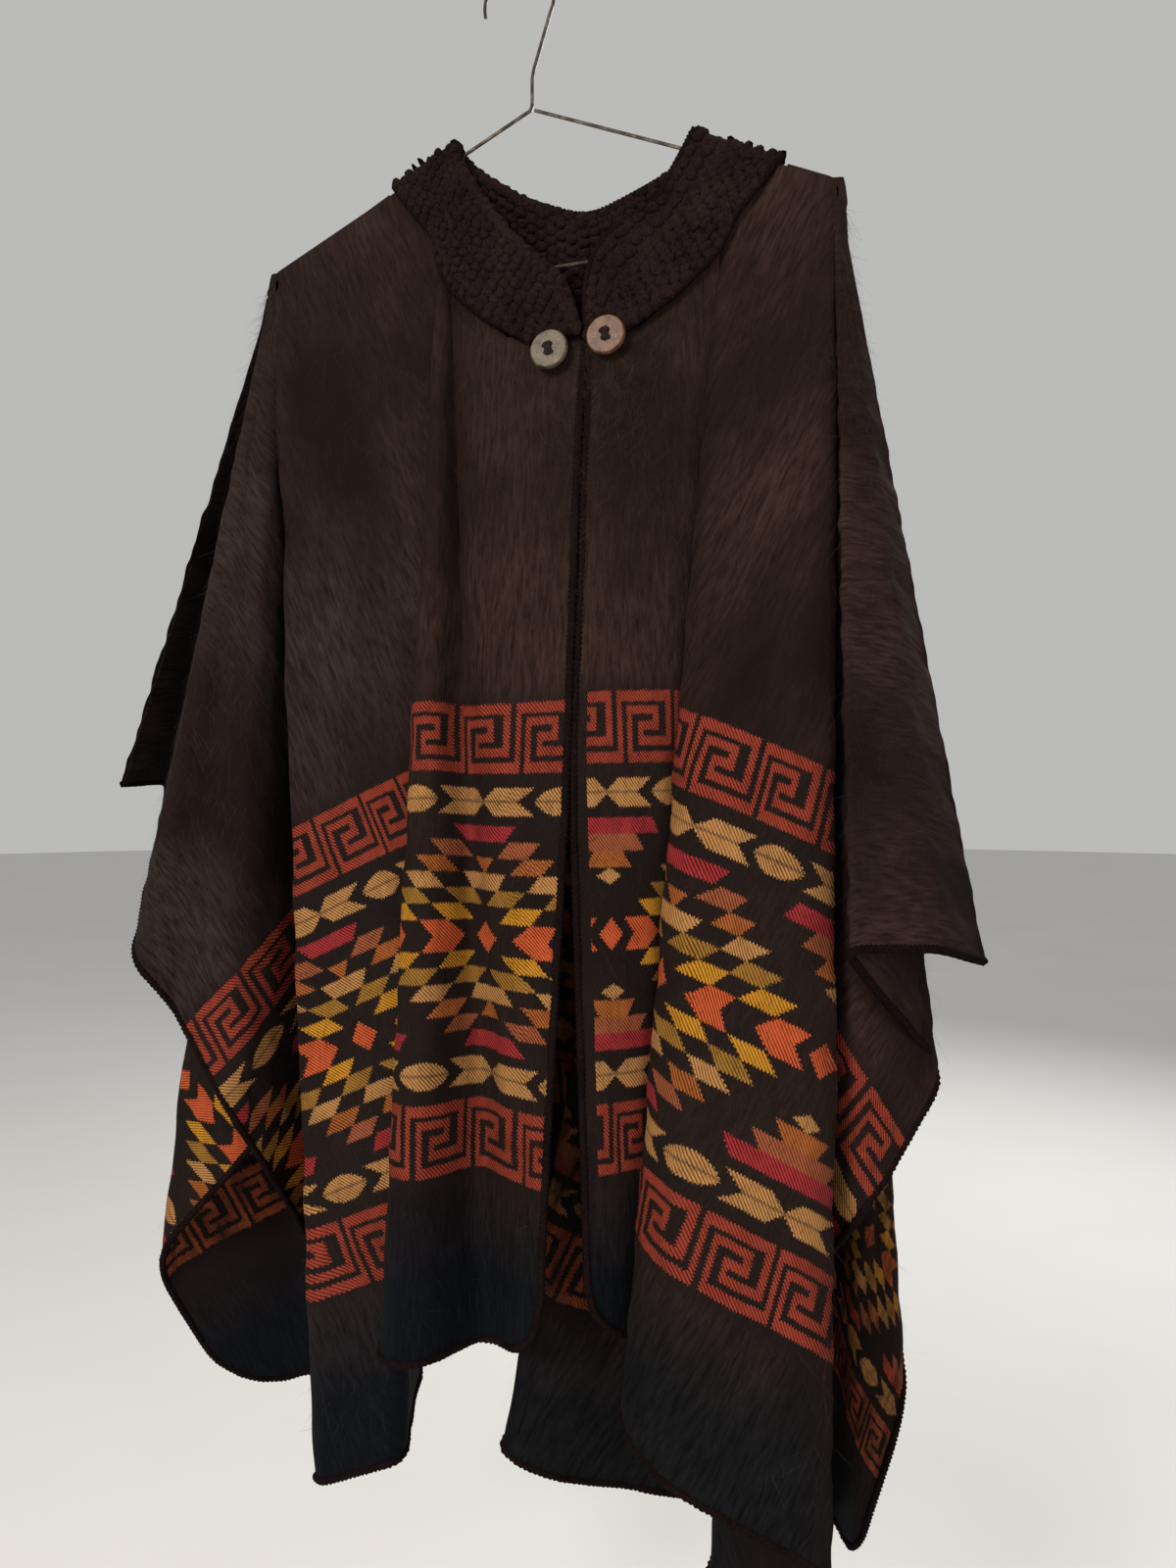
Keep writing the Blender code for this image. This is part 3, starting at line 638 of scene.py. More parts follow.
def ripple(name, u, v, from_top):
    """How far the cloth stands out of its plain ruled form, from the creases and waves."""
    height = np.zeros(u.shape)
    for u0, v0, u1, v1, half_width, depth in CREASES[name]:
        along = np.array([u1 - u0, v1 - v0])
        size = np.hypot(*along)
        share = ((u - u0) * along[0] + (v - v0) * along[1]) / size**2
        away = ((u - u0) * along[1] - (v - v0) * along[0]) / size
        bend = CREASE_BEND * half_width * np.sin(5.0 * share + 40 * u0)
        ends = smooth_step(share / 0.3 + 0.2) * smooth_step((1 - share) / 0.4 + 0.2)
        height += depth * ends * np.exp(-(((away + bend) / half_width) ** 2))
    for across, down, size, phase in WAVES:
        height += size * np.sin(2 * math.pi * (across * u + down * v) + phase)
    return height * rises(from_top, RIPPLE_STARTS, RIPPLE_FULL - RIPPLE_STARTS)


OUTWARD_SIGN = {"front_left": -1.0, "front_right": 1.0, "back": -1.0}


def panel_surface(name, step, count):
    """A panel with its creases: cloth u, v, the middle points and the outward normals."""
    rows = np.concatenate([NEAR_TOP, np.linspace(0.022, 1, count)])
    u, v, points = drape(name, step, rows)
    normal = normals_of(points) * OUTWARD_SIGN[name]
    normal[0] = normal[3]
    from_top = np.hypot(u - u[0], v - v[0])
    points = points + ripple(name, u, v, from_top)[..., None] * normal
    normal = normals_of(points) * OUTWARD_SIGN[name]
    normal[0] = normal[3]
    return u, v, points, normal


def pattern_place(name, u, v):
    """Where a place in the cloth lies in the weave."""
    pins = np.array(PINNED[name])
    across, down = u, v
    if name == "front_right":
        end, length = WEFT_LEANS_TO
        turned = rises(u, *WEFT_LEANS_FROM) * smooth_step((end - u) / length)
        across = u - WEFT_LEAN * turned * (v - WEFT_LEVEL_AT)
        down = v + turned * np.interp(v, WEFT_RAISED_AT, WEFT_RAISED)
    if name == "back":
        down = v + BACK_RAISED * rises(-u, *BACK_RAISED_FROM)
    placed = np.interp(across, pins[:, 0], pins[:, 1])
    if name == "front_left":
        low = np.array(PINNED["front_left_low"])
        low = np.interp(u, low[:, 0], low[:, 1])
        placed = placed + rises(v, *LOW_PINS_FROM) * (low - placed)
    return placed, down


# ---------------- small mesh helpers


def grid_faces(rows, columns, flip=False, closed=False):
    """Quads of a grid of rows by columns; closed joins the last column to the first."""
    r = np.arange(rows - 1)[:, None]
    c = np.arange(columns if closed else columns - 1)[None, :]
    d = (c + 1) % columns
    a, b = r * columns + c, r * columns + d
    quads = np.stack([a, b, b + columns, a + columns], -1).reshape(-1, 4)
    return quads[:, ::-1] if flip else quads


def mesh_object(name, points, faces, material):
    """A smooth mesh from arrays; faces all have the same number of corners."""
    points = np.reshape(points, (-1, 3))
    mesh = bpy.data.meshes.new(name)
    corners = faces.shape[1]
    mesh.vertices.add(len(points))
    mesh.vertices.foreach_set("co", np.asarray(points, np.float32).ravel())
    mesh.loops.add(faces.size)
    mesh.loops.foreach_set("vertex_index", faces.astype(np.int32).ravel())
    mesh.polygons.add(len(faces))
    mesh.polygons.foreach_set("loop_start", np.arange(0, faces.size, corners, dtype=np.int32))
    mesh.polygons.foreach_set("loop_total", np.full(len(faces), corners, np.int32))
    mesh.polygons.foreach_set("use_smooth", np.ones(len(faces), bool))
    mesh.update(calc_edges=True)
    mesh.validate()
    mesh.materials.append(material)
    made = bpy.data.objects.new(name, mesh)
    bpy.context.scene.collection.objects.link(made)
    return made


def write_vector(obj, name, values):
    layer = obj.data.attributes.new(name, "FLOAT_VECTOR", "POINT")
    layer.data.foreach_set("vector", np.asarray(values, np.float32).ravel())


def write_uv(obj, uv):
    """A UV map, one place for each vertex."""
    layer = obj.data.uv_layers.new(name="OFBake")
    index = np.empty(len(obj.data.loops), np.int32)
    obj.data.loops.foreach_get("vertex_index", index)
    layer.uv.foreach_set("vector", np.asarray(uv, np.float32)[index].ravel())


def grid_uv(rows, columns):
    across, down = np.meshgrid(np.linspace(0.01, 0.99, columns), np.linspace(0.99, 0.01, rows))
    return np.stack([across.ravel(), down.ravel()], -1)


NO_TUBE_RUNS_THIS_WAY = (0.13, 0.97, 0.21)
YARN_LOBES = 2


def tube(path, radius, around, pitch, depth):
    """Points and faces of a tube along a path, with lobes that wind round it like spun yarn."""
    along = lengths_along(path)
    tangent = unit(np.gradient(path, axis=0))
    side = unit(np.cross(tangent, NO_TUBE_RUNS_THIS_WAY))
    up = np.cross(side, tangent)
    angle = np.linspace(0, 2 * math.pi, around, endpoint=False)[None, :]
    wound = YARN_LOBES * (angle - 2 * math.pi * along[:, None] / pitch)
    size = radius * (1 + depth * np.cos(wound))
    ring = side[:, None] * (np.cos(angle) * size)[..., None]
    ring = ring + up[:, None] * (np.sin(angle) * size)[..., None]
    points = (path[:, None] + ring).reshape(-1, 3)
    return points, grid_faces(len(path), around, closed=True)


def resampled(path, step):
    """The same path with points at even distances."""
    along = lengths_along(path)
    at = np.linspace(0, along[-1], max(2, round(along[-1] / step)))
    return interpolated(at, along, path)


def joined(parts):
    """Several (points, faces) as one."""
    points, faces, start = [], [], 0
    for p, f in parts:
        points.append(p)
        faces.append(f + start)
        start += len(p)
    return np.concatenate(points), np.concatenate(faces)


# ---------------- materials


def opaque(colour):
    """A colour as the sockets take it; a value from a node stays as it is."""
    return (*colour, 1.0) if isinstance(colour, tuple) else colour


class Value:
    """What a node gives out, so that a material's maths can be written as plain sums."""

    def __init__(self, nodes, socket):
        self.nodes = nodes
        self.socket = socket

    def math(self, operation, *others):
        return self.nodes.math(operation, self, *others)

    def __rsub__(self, other):
        return self.nodes.math("SUBTRACT", other, self)

    __abs__ = functools.partialmethod(math, "ABSOLUTE")
    __add__ = functools.partialmethod(math, "ADD")
    __sub__ = functools.partialmethod(math, "SUBTRACT")
    __mul__ = functools.partialmethod(math, "MULTIPLY")
    __mod__ = functools.partialmethod(math, "FLOORED_MODULO")
    __pow__ = functools.partialmethod(math, "POWER")
    __lt__ = functools.partialmethod(math, "LESS_THAN")
    __gt__ = functools.partialmethod(math, "GREATER_THAN")


class Nodes:
    """The nodes of one material."""

    def __init__(self, name):
        self.material = bpy.data.materials.new(name)
        self.material.use_nodes = True
        self.tree = self.material.node_tree
        self.shader = self.tree.nodes["Principled BSDF"]

    def put(self, socket, value):
        if isinstance(value, Value):
            self.tree.links.new(value.socket, socket)
        else:
            socket.default_value = value

    def new(self, kind, *inputs, **settings):
        """A node with its first inputs, its settings, and the inputs whose names have a capital."""
        node = self.tree.nodes.new("ShaderNode" + kind)
        for socket, value in zip(node.inputs, inputs):
            self.put(socket, value)
        for name, value in settings.items():
            if name[0].isupper():
                self.put(node.inputs[name], value)
            else:
                setattr(node, name, value)
        return node

    def value(self, node, output=0):
        return Value(self, node.outputs[output])

    def math(self, operation, *inputs):
        return self.value(self.new("Math", *inputs, operation=operation))

    def both(self, *masks):
        """The least: 1 where all of the masks are 1."""
        return functools.reduce(lambda a, b: a.math("MINIMUM", b), masks)

    def either(self, *masks):
        """The most: 1 where any of the masks is 1."""
        return functools.reduce(lambda a, b: a.math("MAXIMUM", b), masks)

    def between(self, a, low, high):
        """1 where a lies between two numbers."""
        return self.math("COMPARE", a, (low + high) / 2, (high - low) / 2)

    def ramp(self, a, low, high):
        """0 at low and 1 at high, straight between."""
        return self.value(self.new("MapRange", a, low, high))

    def mix(self, share, a, b):
        """A colour between a and b."""
        node = self.new("Mix", share, data_type="RGBA")
        self.put(node.inputs[6], opaque(a))
        self.put(node.inputs[7], opaque(b))
        return self.value(node, 2)

    def steps(self, a, colours):
        """One of these colours for a in 0-1, in equal steps."""
        node = self.new("ValToRGB", a)
        node.color_ramp.interpolation = "CONSTANT"
        elements = node.color_ramp.elements
        while len(elements) < len(colours):
            elements.new(0.5)
        for k, colour in enumerate(colours):
            elements[k].position = k / len(colours)
            elements[k].color = opaque(colour)
        return self.value(node)

    def attribute(self, name):
        return self.value(self.new("Attribute", attribute_name=name), "Vector")

    def position(self):
        return self.value(self.new("TexCoord"), "Object")

    def parts(self, vector):
        node = self.new("SeparateXYZ", vector)
        return [self.value(node, k) for k in range(3)]

    def vector(self, *parts):
        return self.value(self.new("CombineXYZ", *parts))

    def noise(self, vector, scale, detail, roughness):
        node = self.new("TexNoise", Vector=vector, Scale=scale, Detail=detail, Roughness=roughness)
        return self.value(node)

    def bump(self, height, strength, distance):
        node = self.new("Bump", Strength=strength, Distance=distance, Height=height)
        self.put(self.shader.inputs["Normal"], self.value(node))

    def finish(self, colour, roughness, **constants):
        self.put(self.shader.inputs["Base Color"], opaque(colour))
        self.put(self.shader.inputs["Roughness"], roughness)
        for name, value in constants.items():
            self.shader.inputs[name.replace("_", " ")].default_value = value
        return self.material


# Yarn colours, as linear RGB
KEY_RED = (0.215, 0.0150, 0.0065)
CRIMSON = (0.245, 0.0025, 0.0130)
RUST = (0.235, 0.052, 0.0170)
ORANGE_BROWN = (0.270, 0.064, 0.0070)
CREAM = (0.355, 0.162, 0.0470)
VEIN_BROWN = (0.150, 0.070, 0.0250)
OLIVE = (0.235, 0.105, 0.0080)
YELLOW = (0.420, 0.175, 0.0035)
CORAL = (0.430, 0.058, 0.0120)
ROW_COLOURS = (CORAL, YELLOW, OLIVE, CREAM, ORANGE_BROWN, RUST, CRIMSON)
BLACK = (0.0, 0.0, 0.0)
WARM_LIGHT = (1.0, 0.80, 0.55)
WARM_BLACK = (0.0088, 0.0046, 0.0040)
BROWN_NAP = (0.0440, 0.0240, 0.0190)
NAP_IN_PAINTED_COOL_LIGHT = (0.0340, 0.0245, 0.0225)
# Nap colour painted lighter, as painted light, on the inner face far out on the left
PAINTED_LIGHT_NAP = (0.0750, 0.0540, 0.0480)
HEM_BLACK_IN_PAINTED_COOL_LIGHT = (0.0016, 0.0021, 0.0032)
HEM_NAP_IN_PAINTED_COOL_SHADE = (0.0042, 0.0060, 0.0098)
HEM_NAP = (0.0090, 0.0088, 0.0098)
WEAVE_BLACK = (0.0046, 0.0034, 0.0032)
WEAVE_NAP = (0.0150, 0.0100, 0.0085)

# Noises: scale per metre, detail, roughness
STRAY_ACROSS = (260.0, 3.0, 0.6)
STRAY_DOWN = (190.0, 2.0, 0.6)
LONG_NAP = (420.0, 4.0, 0.62)
FINE_NAP = (1500.0, 2.0, 0.6)
NAP_PATCHES = (9.0, 3.0, 0.55)
WORN_YARN = (55.0, 3.0, 0.6)
HIDING_NAP = (60.0, 4.0, 0.6)
LOOSE_NAP = (700.0, 3.0, 0.7)
SHELL_CLOUDS = (190.0, 4.0, 0.6)
SHELL_GRAIN = (900.0, 3.0, 0.7)
SHELL_FLECKS = (620.0, 2.0, 0.5)
WORN_LACQUER = (130.0, 4.0, 0.6)
LACQUER_SPECKS = (1400.0, 2.0, 0.6)
FLOOR_CLOUDS = (3.0, 4.0, 0.5)

# On the right front the border starts this far in from the slit.
PLAIN_AT_SLIT = 0.0092
# Stretches of the cloth, in metres down from the shoulder fold: from none to full
HEM_STARTS = (0.70, 0.79)
BORDER_STARTS = (0.385, 0.40)
BORDER_ENDS = (0.735, 0.722)
# The painted shade along the deep fold of the right front: where it starts at the shoulder, how far
# that moves across for each metre down, how softly it starts, where it ends, and how dark it is
FOLD_SHADE_FROM = 0.168
FOLD_SHADE_LEAN = 0.45
FOLD_SHADE_STARTS = (-0.012, 0.012)
FOLD_SHADE_ENDS = (0.14, 0.09)
FOLD_SHADE = 0.55

# The woven border, in millimetres of the weave
BORDER_CENTRE = 560.0
CORAL_HALF = 11.0
ROW_HEIGHT = 11.1
ROWS_EACH_WAY = 6
CELL_STEP = 12.3
CELL_LEAN = 11.7
CELL_WIDTH = 24.0
CELL_FIRST = 62.5
RING_APART = 48.0
AXES_APART = 125.0
FISH_ROW = 94.5
FISH_LENGTH = 42.0
FISH_TAIL = 28.5
FISH_WIDEST = 9.6
LEAF_LENGTH = 20.0
STARS_AT = (26.0, 77.0)
STAR_LENGTH = 35
STAR_NOTCH = 26
STAR_WIDEST = 11.0
KEY_ROW = 138.0
KEY_PITCH = 50.0
KEY_HEIGHT = 48.0
KEY_FIRST = 25.0
# How far the key above the lattice slips along for each millimetre past p = 0, the most that it
# slips, the most below the lattice, and the slip where p is over RIGHT_PANEL_FROM
KEY_SLIP = 0.16
KEY_SLIP_MOST = 18.0
KEY_SLIP_LOW = -6.3
KEY_SLIP_RIGHT = 4.8
RIGHT_PANEL_FROM = 250.0
TOOTH_PITCH = 2.3
TOOTH_DEPTH = 1.5
TWILL_PITCH = 3.1
STITCH = 0.6
INSIDE_BLUR = 3.2

# Bars of one key: from and to across, from and to down
KEY_BARS = (
    (0.0, 3.8, 0.0, 48.0),
    (0.0, 46.0, 0.0, 7.0),
    (41.0, 46.0, 0.0, 36.5),
    (16.6, 46.0, 30.5, 36.5),
    (16.6, 20.5, 20.0, 36.5),
    (16.6, 33.3, 20.0, 26.0),
    (28.2, 33.3, 10.0, 26.0),
    (7.7, 33.3, 10.0, 15.7),
    (7.7, 11.5, 10.0, 48.0),
    (7.7, 50.0, 40.5, 48.0),
)

# Steps at an axis and half-way between axes: the row, the half width at its start, and its growth
STEPS_AT_AXIS = ((3, 14.5, 7.5), (4, 1.0, 9.0), (6, 20.5, 8.5))
STEPS_BETWEEN = ((6, 50.0, -8.0), (5, 34.0, -8.0), (4, 21.0, -8.0))


def stitched(value):
    """The value in whole stitches."""
    return value.math("SNAP", STITCH) + STITCH / 2


def key_mask(n, p, q):
    """The running key, above and below the lattice."""
    from_centre = abs(q - BORDER_CENTRE)
    in_rows = n.between(from_centre, KEY_ROW - KEY_HEIGHT / 2, KEY_ROW + KEY_HEIGHT / 2)
    below = q > BORDER_CENTRE
    down = q - (below * (2 * KEY_ROW) + (BORDER_CENTRE - KEY_ROW - KEY_HEIGHT / 2))
    slipped = (p.math("MAXIMUM", 0.0) * (KEY_SLIP / KEY_SLIP_MOST)).math("MINIMUM", 1.0)
    slipped = slipped * (below * (KEY_SLIP_LOW - KEY_SLIP_MOST) + KEY_SLIP_MOST)
    on_right = p > RIGHT_PANEL_FROM
    slipped = slipped * (1.0 - on_right) + on_right * KEY_SLIP_RIGHT
    across = (p - slipped - (KEY_FIRST + 1000 * PATTERN_AXIS)) % KEY_PITCH
    bars = []
    for x0, x1, y0, y1 in KEY_BARS:
        bars.append(n.both(n.between(across, x0, x1), n.between(down, y0, y1)))
    return n.both(in_rows, n.either(*bars))


def fish_mask(n, a, y):
    """Forked-tailed figures nose to nose on the axes, and the leaves between their tails."""
    body = (a * 0.80 + 0.8).math("MINIMUM", FISH_WIDEST)
    fish = n.both(y < body, a < FISH_LENGTH, y > (a - FISH_TAIL) * 0.70)
    share = (AXES_APART / 2 - a) * (1 / LEAF_LENGTH)
    leaf = y < (1.0 - share**2.2) * 9.4
    return n.either(fish, n.both(leaf, a > FISH_LENGTH + 0.8))


def star_mask(n, x, y):
    """An arrow-headed star, pointing to where x grows from 0."""
    body = (x * 0.85 + 0.6).math("MINIMUM", STAR_WIDEST)
    return n.both(y < body, n.between(x, 0, STAR_LENGTH), y > (x - STAR_NOTCH) * 1.15)


def lattice(n, b, y):
    """The stepped rings, pyramids, stars and diamonds: a mask, and the row number from the centre."""
    rows_out = (y - CORAL_HALF) * (1 / ROW_HEIGHT)
    row = rows_out.math("CEIL").math("MAXIMUM", 0.0)
    share = rows_out - (row - 1.0)
    past = b - CELL_FIRST + (row - 1.0) * CELL_STEP - share * CELL_LEAN
    far = AXES_APART - b
    cells = [
        n.both(n.between(past, 0, CELL_WIDTH), row < 5.5),
        n.both(n.between(past + RING_APART, 0, CELL_WIDTH), row < 2.5),
    ]
    for from_middle, steps in ((b, STEPS_AT_AXIS), (far, STEPS_BETWEEN)):
        for number, start, growth in steps:
            inside = from_middle < share * growth + start
            cells.append(n.both(n.between(row, number - 0.5, number + 0.5), inside))
    point = 1.0 - abs(share * 2.0 - 1.0)
    cells.append(n.both(n.between(row, 2.5, 3.5), far < point * 11.0))
    cells = n.both(n.either(*cells), n.between(row, 0.5, ROWS_EACH_WAY + 0.5))
    diamond = b.math("MINIMUM", far) + y < CORAL_HALF
    stars = n.either(*(star_mask(n, b - start, y) for start in STARS_AT))
    return n.either(cells, n.both(row < 0.5, n.either(diamond, stars))), row


def woven_border(n, place, blur=0.0):
    """The border's mask and colour at a place in the weave, and the place in millimetres."""
    x, y, turned = n.parts(place)
    p, q = x * 1000.0, y * 1000.0
    if blur:
        p = p + (n.noise(place, *STRAY_ACROSS) - 0.5) * blur
        q = q + (n.noise(place, *STRAY_DOWN) - 0.5) * (2 * blur)
    # The stitches leave small teeth along every edge of a figure.
    teeth_down = q.math("PINGPONG", TOOTH_PITCH / 2)
    teeth_across = p.math("PINGPONG", TOOTH_PITCH / 2)
    p_stitch = stitched(p + (teeth_down - TOOTH_PITCH / 4) * TOOTH_DEPTH)
    q_stitch = stitched(q + (teeth_across - TOOTH_PITCH / 4) * TOOTH_DEPTH)
    key = key_mask(n, p_stitch, q_stitch)
    b = (p_stitch - 1000 * PATTERN_AXIS).math("PINGPONG", AXES_APART)
    rise = abs(q_stitch - BORDER_CENTRE)
    fish_y = abs(rise - FISH_ROW)
    fish = fish_mask(n, b.math("MINIMUM", AXES_APART - b), fish_y)
    fish = n.both(fish, fish_y < 12.0)
    cells, row = lattice(n, b, rise)
    cells = n.both(cells, rise < CORAL_HALF + ROWS_EACH_WAY * ROW_HEIGHT)
    colours = n.steps((row + 0.5) * (1 / len(ROW_COLOURS)), ROW_COLOURS)
    vein = n.both(fish_y < 0.9, fish)
    yarn = n.mix(key, colours, KEY_RED)
    yarn = n.mix(fish, yarn, n.mix(vein, CREAM, VEIN_BROWN))
    return n.either(key, fish, cells), yarn, p, q, turned


def wool(name, inner=False):
    """Brushed wool with the border. On the inner face the nap hides most of the border."""
    n = Nodes(name)
    place = n.attribute("weave_place")
    cloth = n.attribute("cloth_place")
    mask, yarn, p, q, turned = woven_border(n, place, INSIDE_BLUR if inner else 0.0)
    u, v, _ = n.parts(cloth)
    mask = mask * (1.0 - turned * (u < PLAIN_AT_SLIT))
    long_nap = n.noise(n.vector(u, v * 0.13, (u + v) * 0.05), *LONG_NAP)
    fine_nap = n.noise(n.vector(u, v * 0.3, 0.0), *FINE_NAP)
    patches = n.noise(n.vector(u, v * 0.55, 0.3), *NAP_PATCHES)
    brushed = n.ramp(patches, 0.36, 0.66) * n.ramp(long_nap, 0.30, 0.72)
    # Towards the left side the nap turns greyer: painted cool light.
    nap = n.mix(n.ramp(u, -0.34, -0.16), NAP_IN_PAINTED_COOL_LIGHT, BROWN_NAP)
    base = n.mix(brushed, WARM_BLACK, nap)
    # Towards the hem the cloth turns darker and bluer; the blue is painted cool light, and the left
    # side is darker still with painted shade.
    hem_nap = n.mix(n.ramp(u, -0.08, 0.16), HEM_NAP_IN_PAINTED_COOL_SHADE, HEM_NAP)
    hem = n.mix(n.ramp(long_nap, 0.3, 0.75), HEM_BLACK_IN_PAINTED_COOL_LIGHT, hem_nap)
    base = n.mix(n.ramp(v, *HEM_STARTS), base, hem)
    # Inside the border the ground is plain dark weave with less nap.
    in_border = n.both(n.ramp(v, *BORDER_STARTS), n.ramp(v, *BORDER_ENDS))
    weave = n.mix(n.ramp(fine_nap, 0.3, 0.8), WEAVE_BLACK, WEAVE_NAP)
    base = n.mix(in_border * 0.72, base, weave)
    twill = ((p * 1.1 + q * -1.0) * (2 * math.pi / TWILL_PITCH)).math("SINE")
    rib = n.ramp(twill, -1.0, 1.0)
    shade = rib * 0.66 + (n.noise(place, *WORN_YARN) * 0.62 + fine_nap * 0.24)
    dark_yarn = n.mix(0.84, yarn, BLACK)
    light_yarn = n.mix(0.03, yarn, WARM_LIGHT)
    threads = n.mix(n.ramp(shade, 0.36, 0.92), dark_yarn, light_yarn)
    if inner:
        hidden = n.noise(n.vector(u, v * 0.35, 0.7), *HIDING_NAP)
        mask = mask * n.ramp(hidden, 0.30, 0.62)
        # The border threads of the inner face are lightened with cream: painted light on this shadowed
        # face.
        threads = n.mix(n.ramp(shade, 0.2, 0.7), dark_yarn, n.mix(0.25, yarn, CREAM))
        threads = n.mix(0.25, threads, BROWN_NAP)
        # Far out on the left and above the border, the inner face is painted lighter in patches of
        # nap: painted light.
        painted_light_far_left = n.ramp(u * -1.0, 0.50, 0.58) * n.ramp(long_nap, 0.25, 0.6) * n.ramp(v, 0.50, 0.38)
        base = n.mix(painted_light_far_left, base, PAINTED_LIGHT_NAP)
    # Stray dark nap lies over the coloured yarn.
    over = n.ramp(n.noise(n.vector(u, v * 0.16, 1.7), *LOOSE_NAP), 0.56, 0.74)
    mask = mask * (1.0 - over * 0.45)
    colour = n.mix(mask, base, threads)
    # Along the deep fold of the right front the cloth is darkened: painted shade where the fold's
    # valley lies.
    past_fold = u - (v * FOLD_SHADE_LEAN + FOLD_SHADE_FROM)
    painted_fold_shade = n.ramp(past_fold, *FOLD_SHADE_STARTS) * n.ramp(past_fold, *FOLD_SHADE_ENDS)
    colour = n.mix(painted_fold_shade * (turned * FOLD_SHADE), colour, WARM_BLACK)
    n.bump(long_nap * 0.6 + (fine_nap * 0.35 + mask * rib * 0.35), 0.55, 0.0012)
    return n.finish(
        colour,
        fine_nap * 0.18 + 0.80,
        Sheen_Weight=0.010,
        Sheen_Roughness=0.45,
        Sheen_Tint=(0.75, 0.60, 0.48, 1.0),
        Specular_IOR_Level=0.05,
    )


def yarn_material(name, dark, light, scale=500.0, sheen=0.03):
    """Dark yarn with fine hairs and lighter tops."""
    n = Nodes(name)
    place = n.position()
    fibres = n.noise(place, scale, 4.0, 0.65)
    broad = n.noise(place, scale / 14, 2.0, 0.5)
    colour = n.mix(n.ramp(fibres + broad * 0.5, 0.5, 1.05), dark, light)
    n.bump(fibres + broad * 0.4, 0.6, 0.0010)
    roughness = fibres * 0.2 + 0.78
    return n.finish(
        colour, roughness, Sheen_Weight=sheen, Sheen_Roughness=0.4, Specular_IOR_Level=0.02
    )


def shell_material(name, dark, middle, light):
    """Polished coconut or horn: mottled, with pale flecks and fine scratches."""
    n = Nodes(name)
    place = n.position()
    x, y, z = n.parts(place)
    clouds = n.noise(place, *SHELL_CLOUDS)
    grain = n.noise(n.vector(x * 0.35, y, z), *SHELL_GRAIN)
    flecks = n.ramp(n.noise(place, *SHELL_FLECKS), 0.60, 0.70)
    colour = n.mix(n.ramp(clouds, 0.34, 0.60), dark, middle)
    colour = n.mix(n.ramp(grain, 0.48, 0.75) * 0.45, colour, light)
    colour = n.mix(flecks * 0.5, colour, light)
    n.bump(clouds * 0.5 + grain, 0.25, 0.0006)
    roughness = grain * 0.25 + 0.34
    return n.finish(
        colour, roughness, Specular_IOR_Level=0.30, Coat_Weight=0.10, Coat_Roughness=0.25
    )


def wire_material():
    """Lacquered steel, brown-black, rubbed to brass grey in patches."""
    n = Nodes("hanger_lacquer")
    place = n.position()
    worn = n.noise(place, *WORN_LACQUER)
    specks = n.noise(place, *LACQUER_SPECKS)
    colour = n.mix(n.ramp(worn, 0.44, 0.66), (0.060, 0.050, 0.044), (0.21, 0.165, 0.115))
    colour = n.mix(n.ramp(specks, 0.6, 0.75) * 0.5, colour, (0.32, 0.30, 0.28))
    n.bump(worn + specks, 0.2, 0.0003)
    roughness = worn * 0.22 + 0.26
    return n.finish(colour, roughness, Metallic=0.85, Coat_Weight=0.3, Coat_Roughness=0.2)


def floor_material():
    n = Nodes("studio_floor")
    soft = n.noise(n.position(), *FLOOR_CLOUDS)
    colour = n.mix(soft, (0.66, 0.65, 0.63), (0.71, 0.70, 0.68))
    return n.finish(colour, 0.85)


# ---------------- pieces of the garment


def cloth_shell(name, material, inner_material):
    """The outer and the inner face of a panel, as two fine shells 1.6 mm apart."""
    u, v, points, normal = panel_surface(name, SHELL_STEP, SHELL_ROWS)
    rows, columns = u.shape
    flip = OUTWARD_SIGN[name] > 0
    p, q = pattern_place(name, u, v)
    made = []
    for piece, side, skip, used in (
        (name + "_cloth", 1.0, 1, material),
        (name + "_inside", -1.0, 2, inner_material),
    ):
        keep_rows = np.unique(np.append(np.arange(0, rows, skip), rows - 1))
        keep_columns = np.unique(np.append(np.arange(0, columns, skip), columns - 1))
        pick = np.ix_(keep_rows, keep_columns)
        shell = (points + side * SHELL_HALF * normal)[pick]
        shape = shell.shape[:2]
        faces = grid_faces(*shape, flip=flip if side > 0 else not flip)
        obj = mesh_object(piece, shell, faces, used)
        zero = np.zeros(shape)
        turned = zero + (name == "front_right")
        write_vector(obj, "weave_place", np.stack([p[pick], q[pick], turned], -1))
        write_vector(obj, "cloth_place", np.stack([u[pick], v[pick], zero], -1))
        write_uv(obj, grid_uv(*shape))
        made.append(obj)
    return made, (u, v, points, normal)


EDGE_RADIUS = 0.0026
EDGE_STEP = 0.0016
EDGE_PITCH = 0.0075


def crochet_edge(name, surface, material):
    """The crocheted border round a panel's slit, hem and side, as a rope of round stitches."""
    path = resampled(surface[2][-1], EDGE_STEP)
    return mesh_object(name, *tube(path, EDGE_RADIUS, 10, pitch=EDGE_PITCH, depth=0.24), material)


FOLD_STATIONS = 260
FOLD_ANGLES = np.linspace(-14, 194, 11)
FOLD_HEIGHT = 0.8
FOLD_REACH = 0.003


def fold_line(surface, side, front):
    """The shoulder fold of a panel on one side: u, and the points and normals along it."""
    u, v, points, normal = surface
    fold_v = 0.0 if side < 0 else SLID_RIGHT * (1 if front else -1)
    first = np.nonzero((np.abs(v[0] - fold_v) < 1e-4) & (u[0] * side > 0))[0]
    end = 0 if u[-1, 0] * side > HALF_WIDTH - 0.01 else -1
    found = [(abs(u[0, c]), *points[0, c], *normal[0, c]) for c in first]
    found += [(abs(u[r, end]), *points[r, end], *normal[r, end]) for r in range(1, u.shape[0])]
    found = np.array(sorted(found))
    return found[:, 0], found[:, 1:4], found[:, 4:]


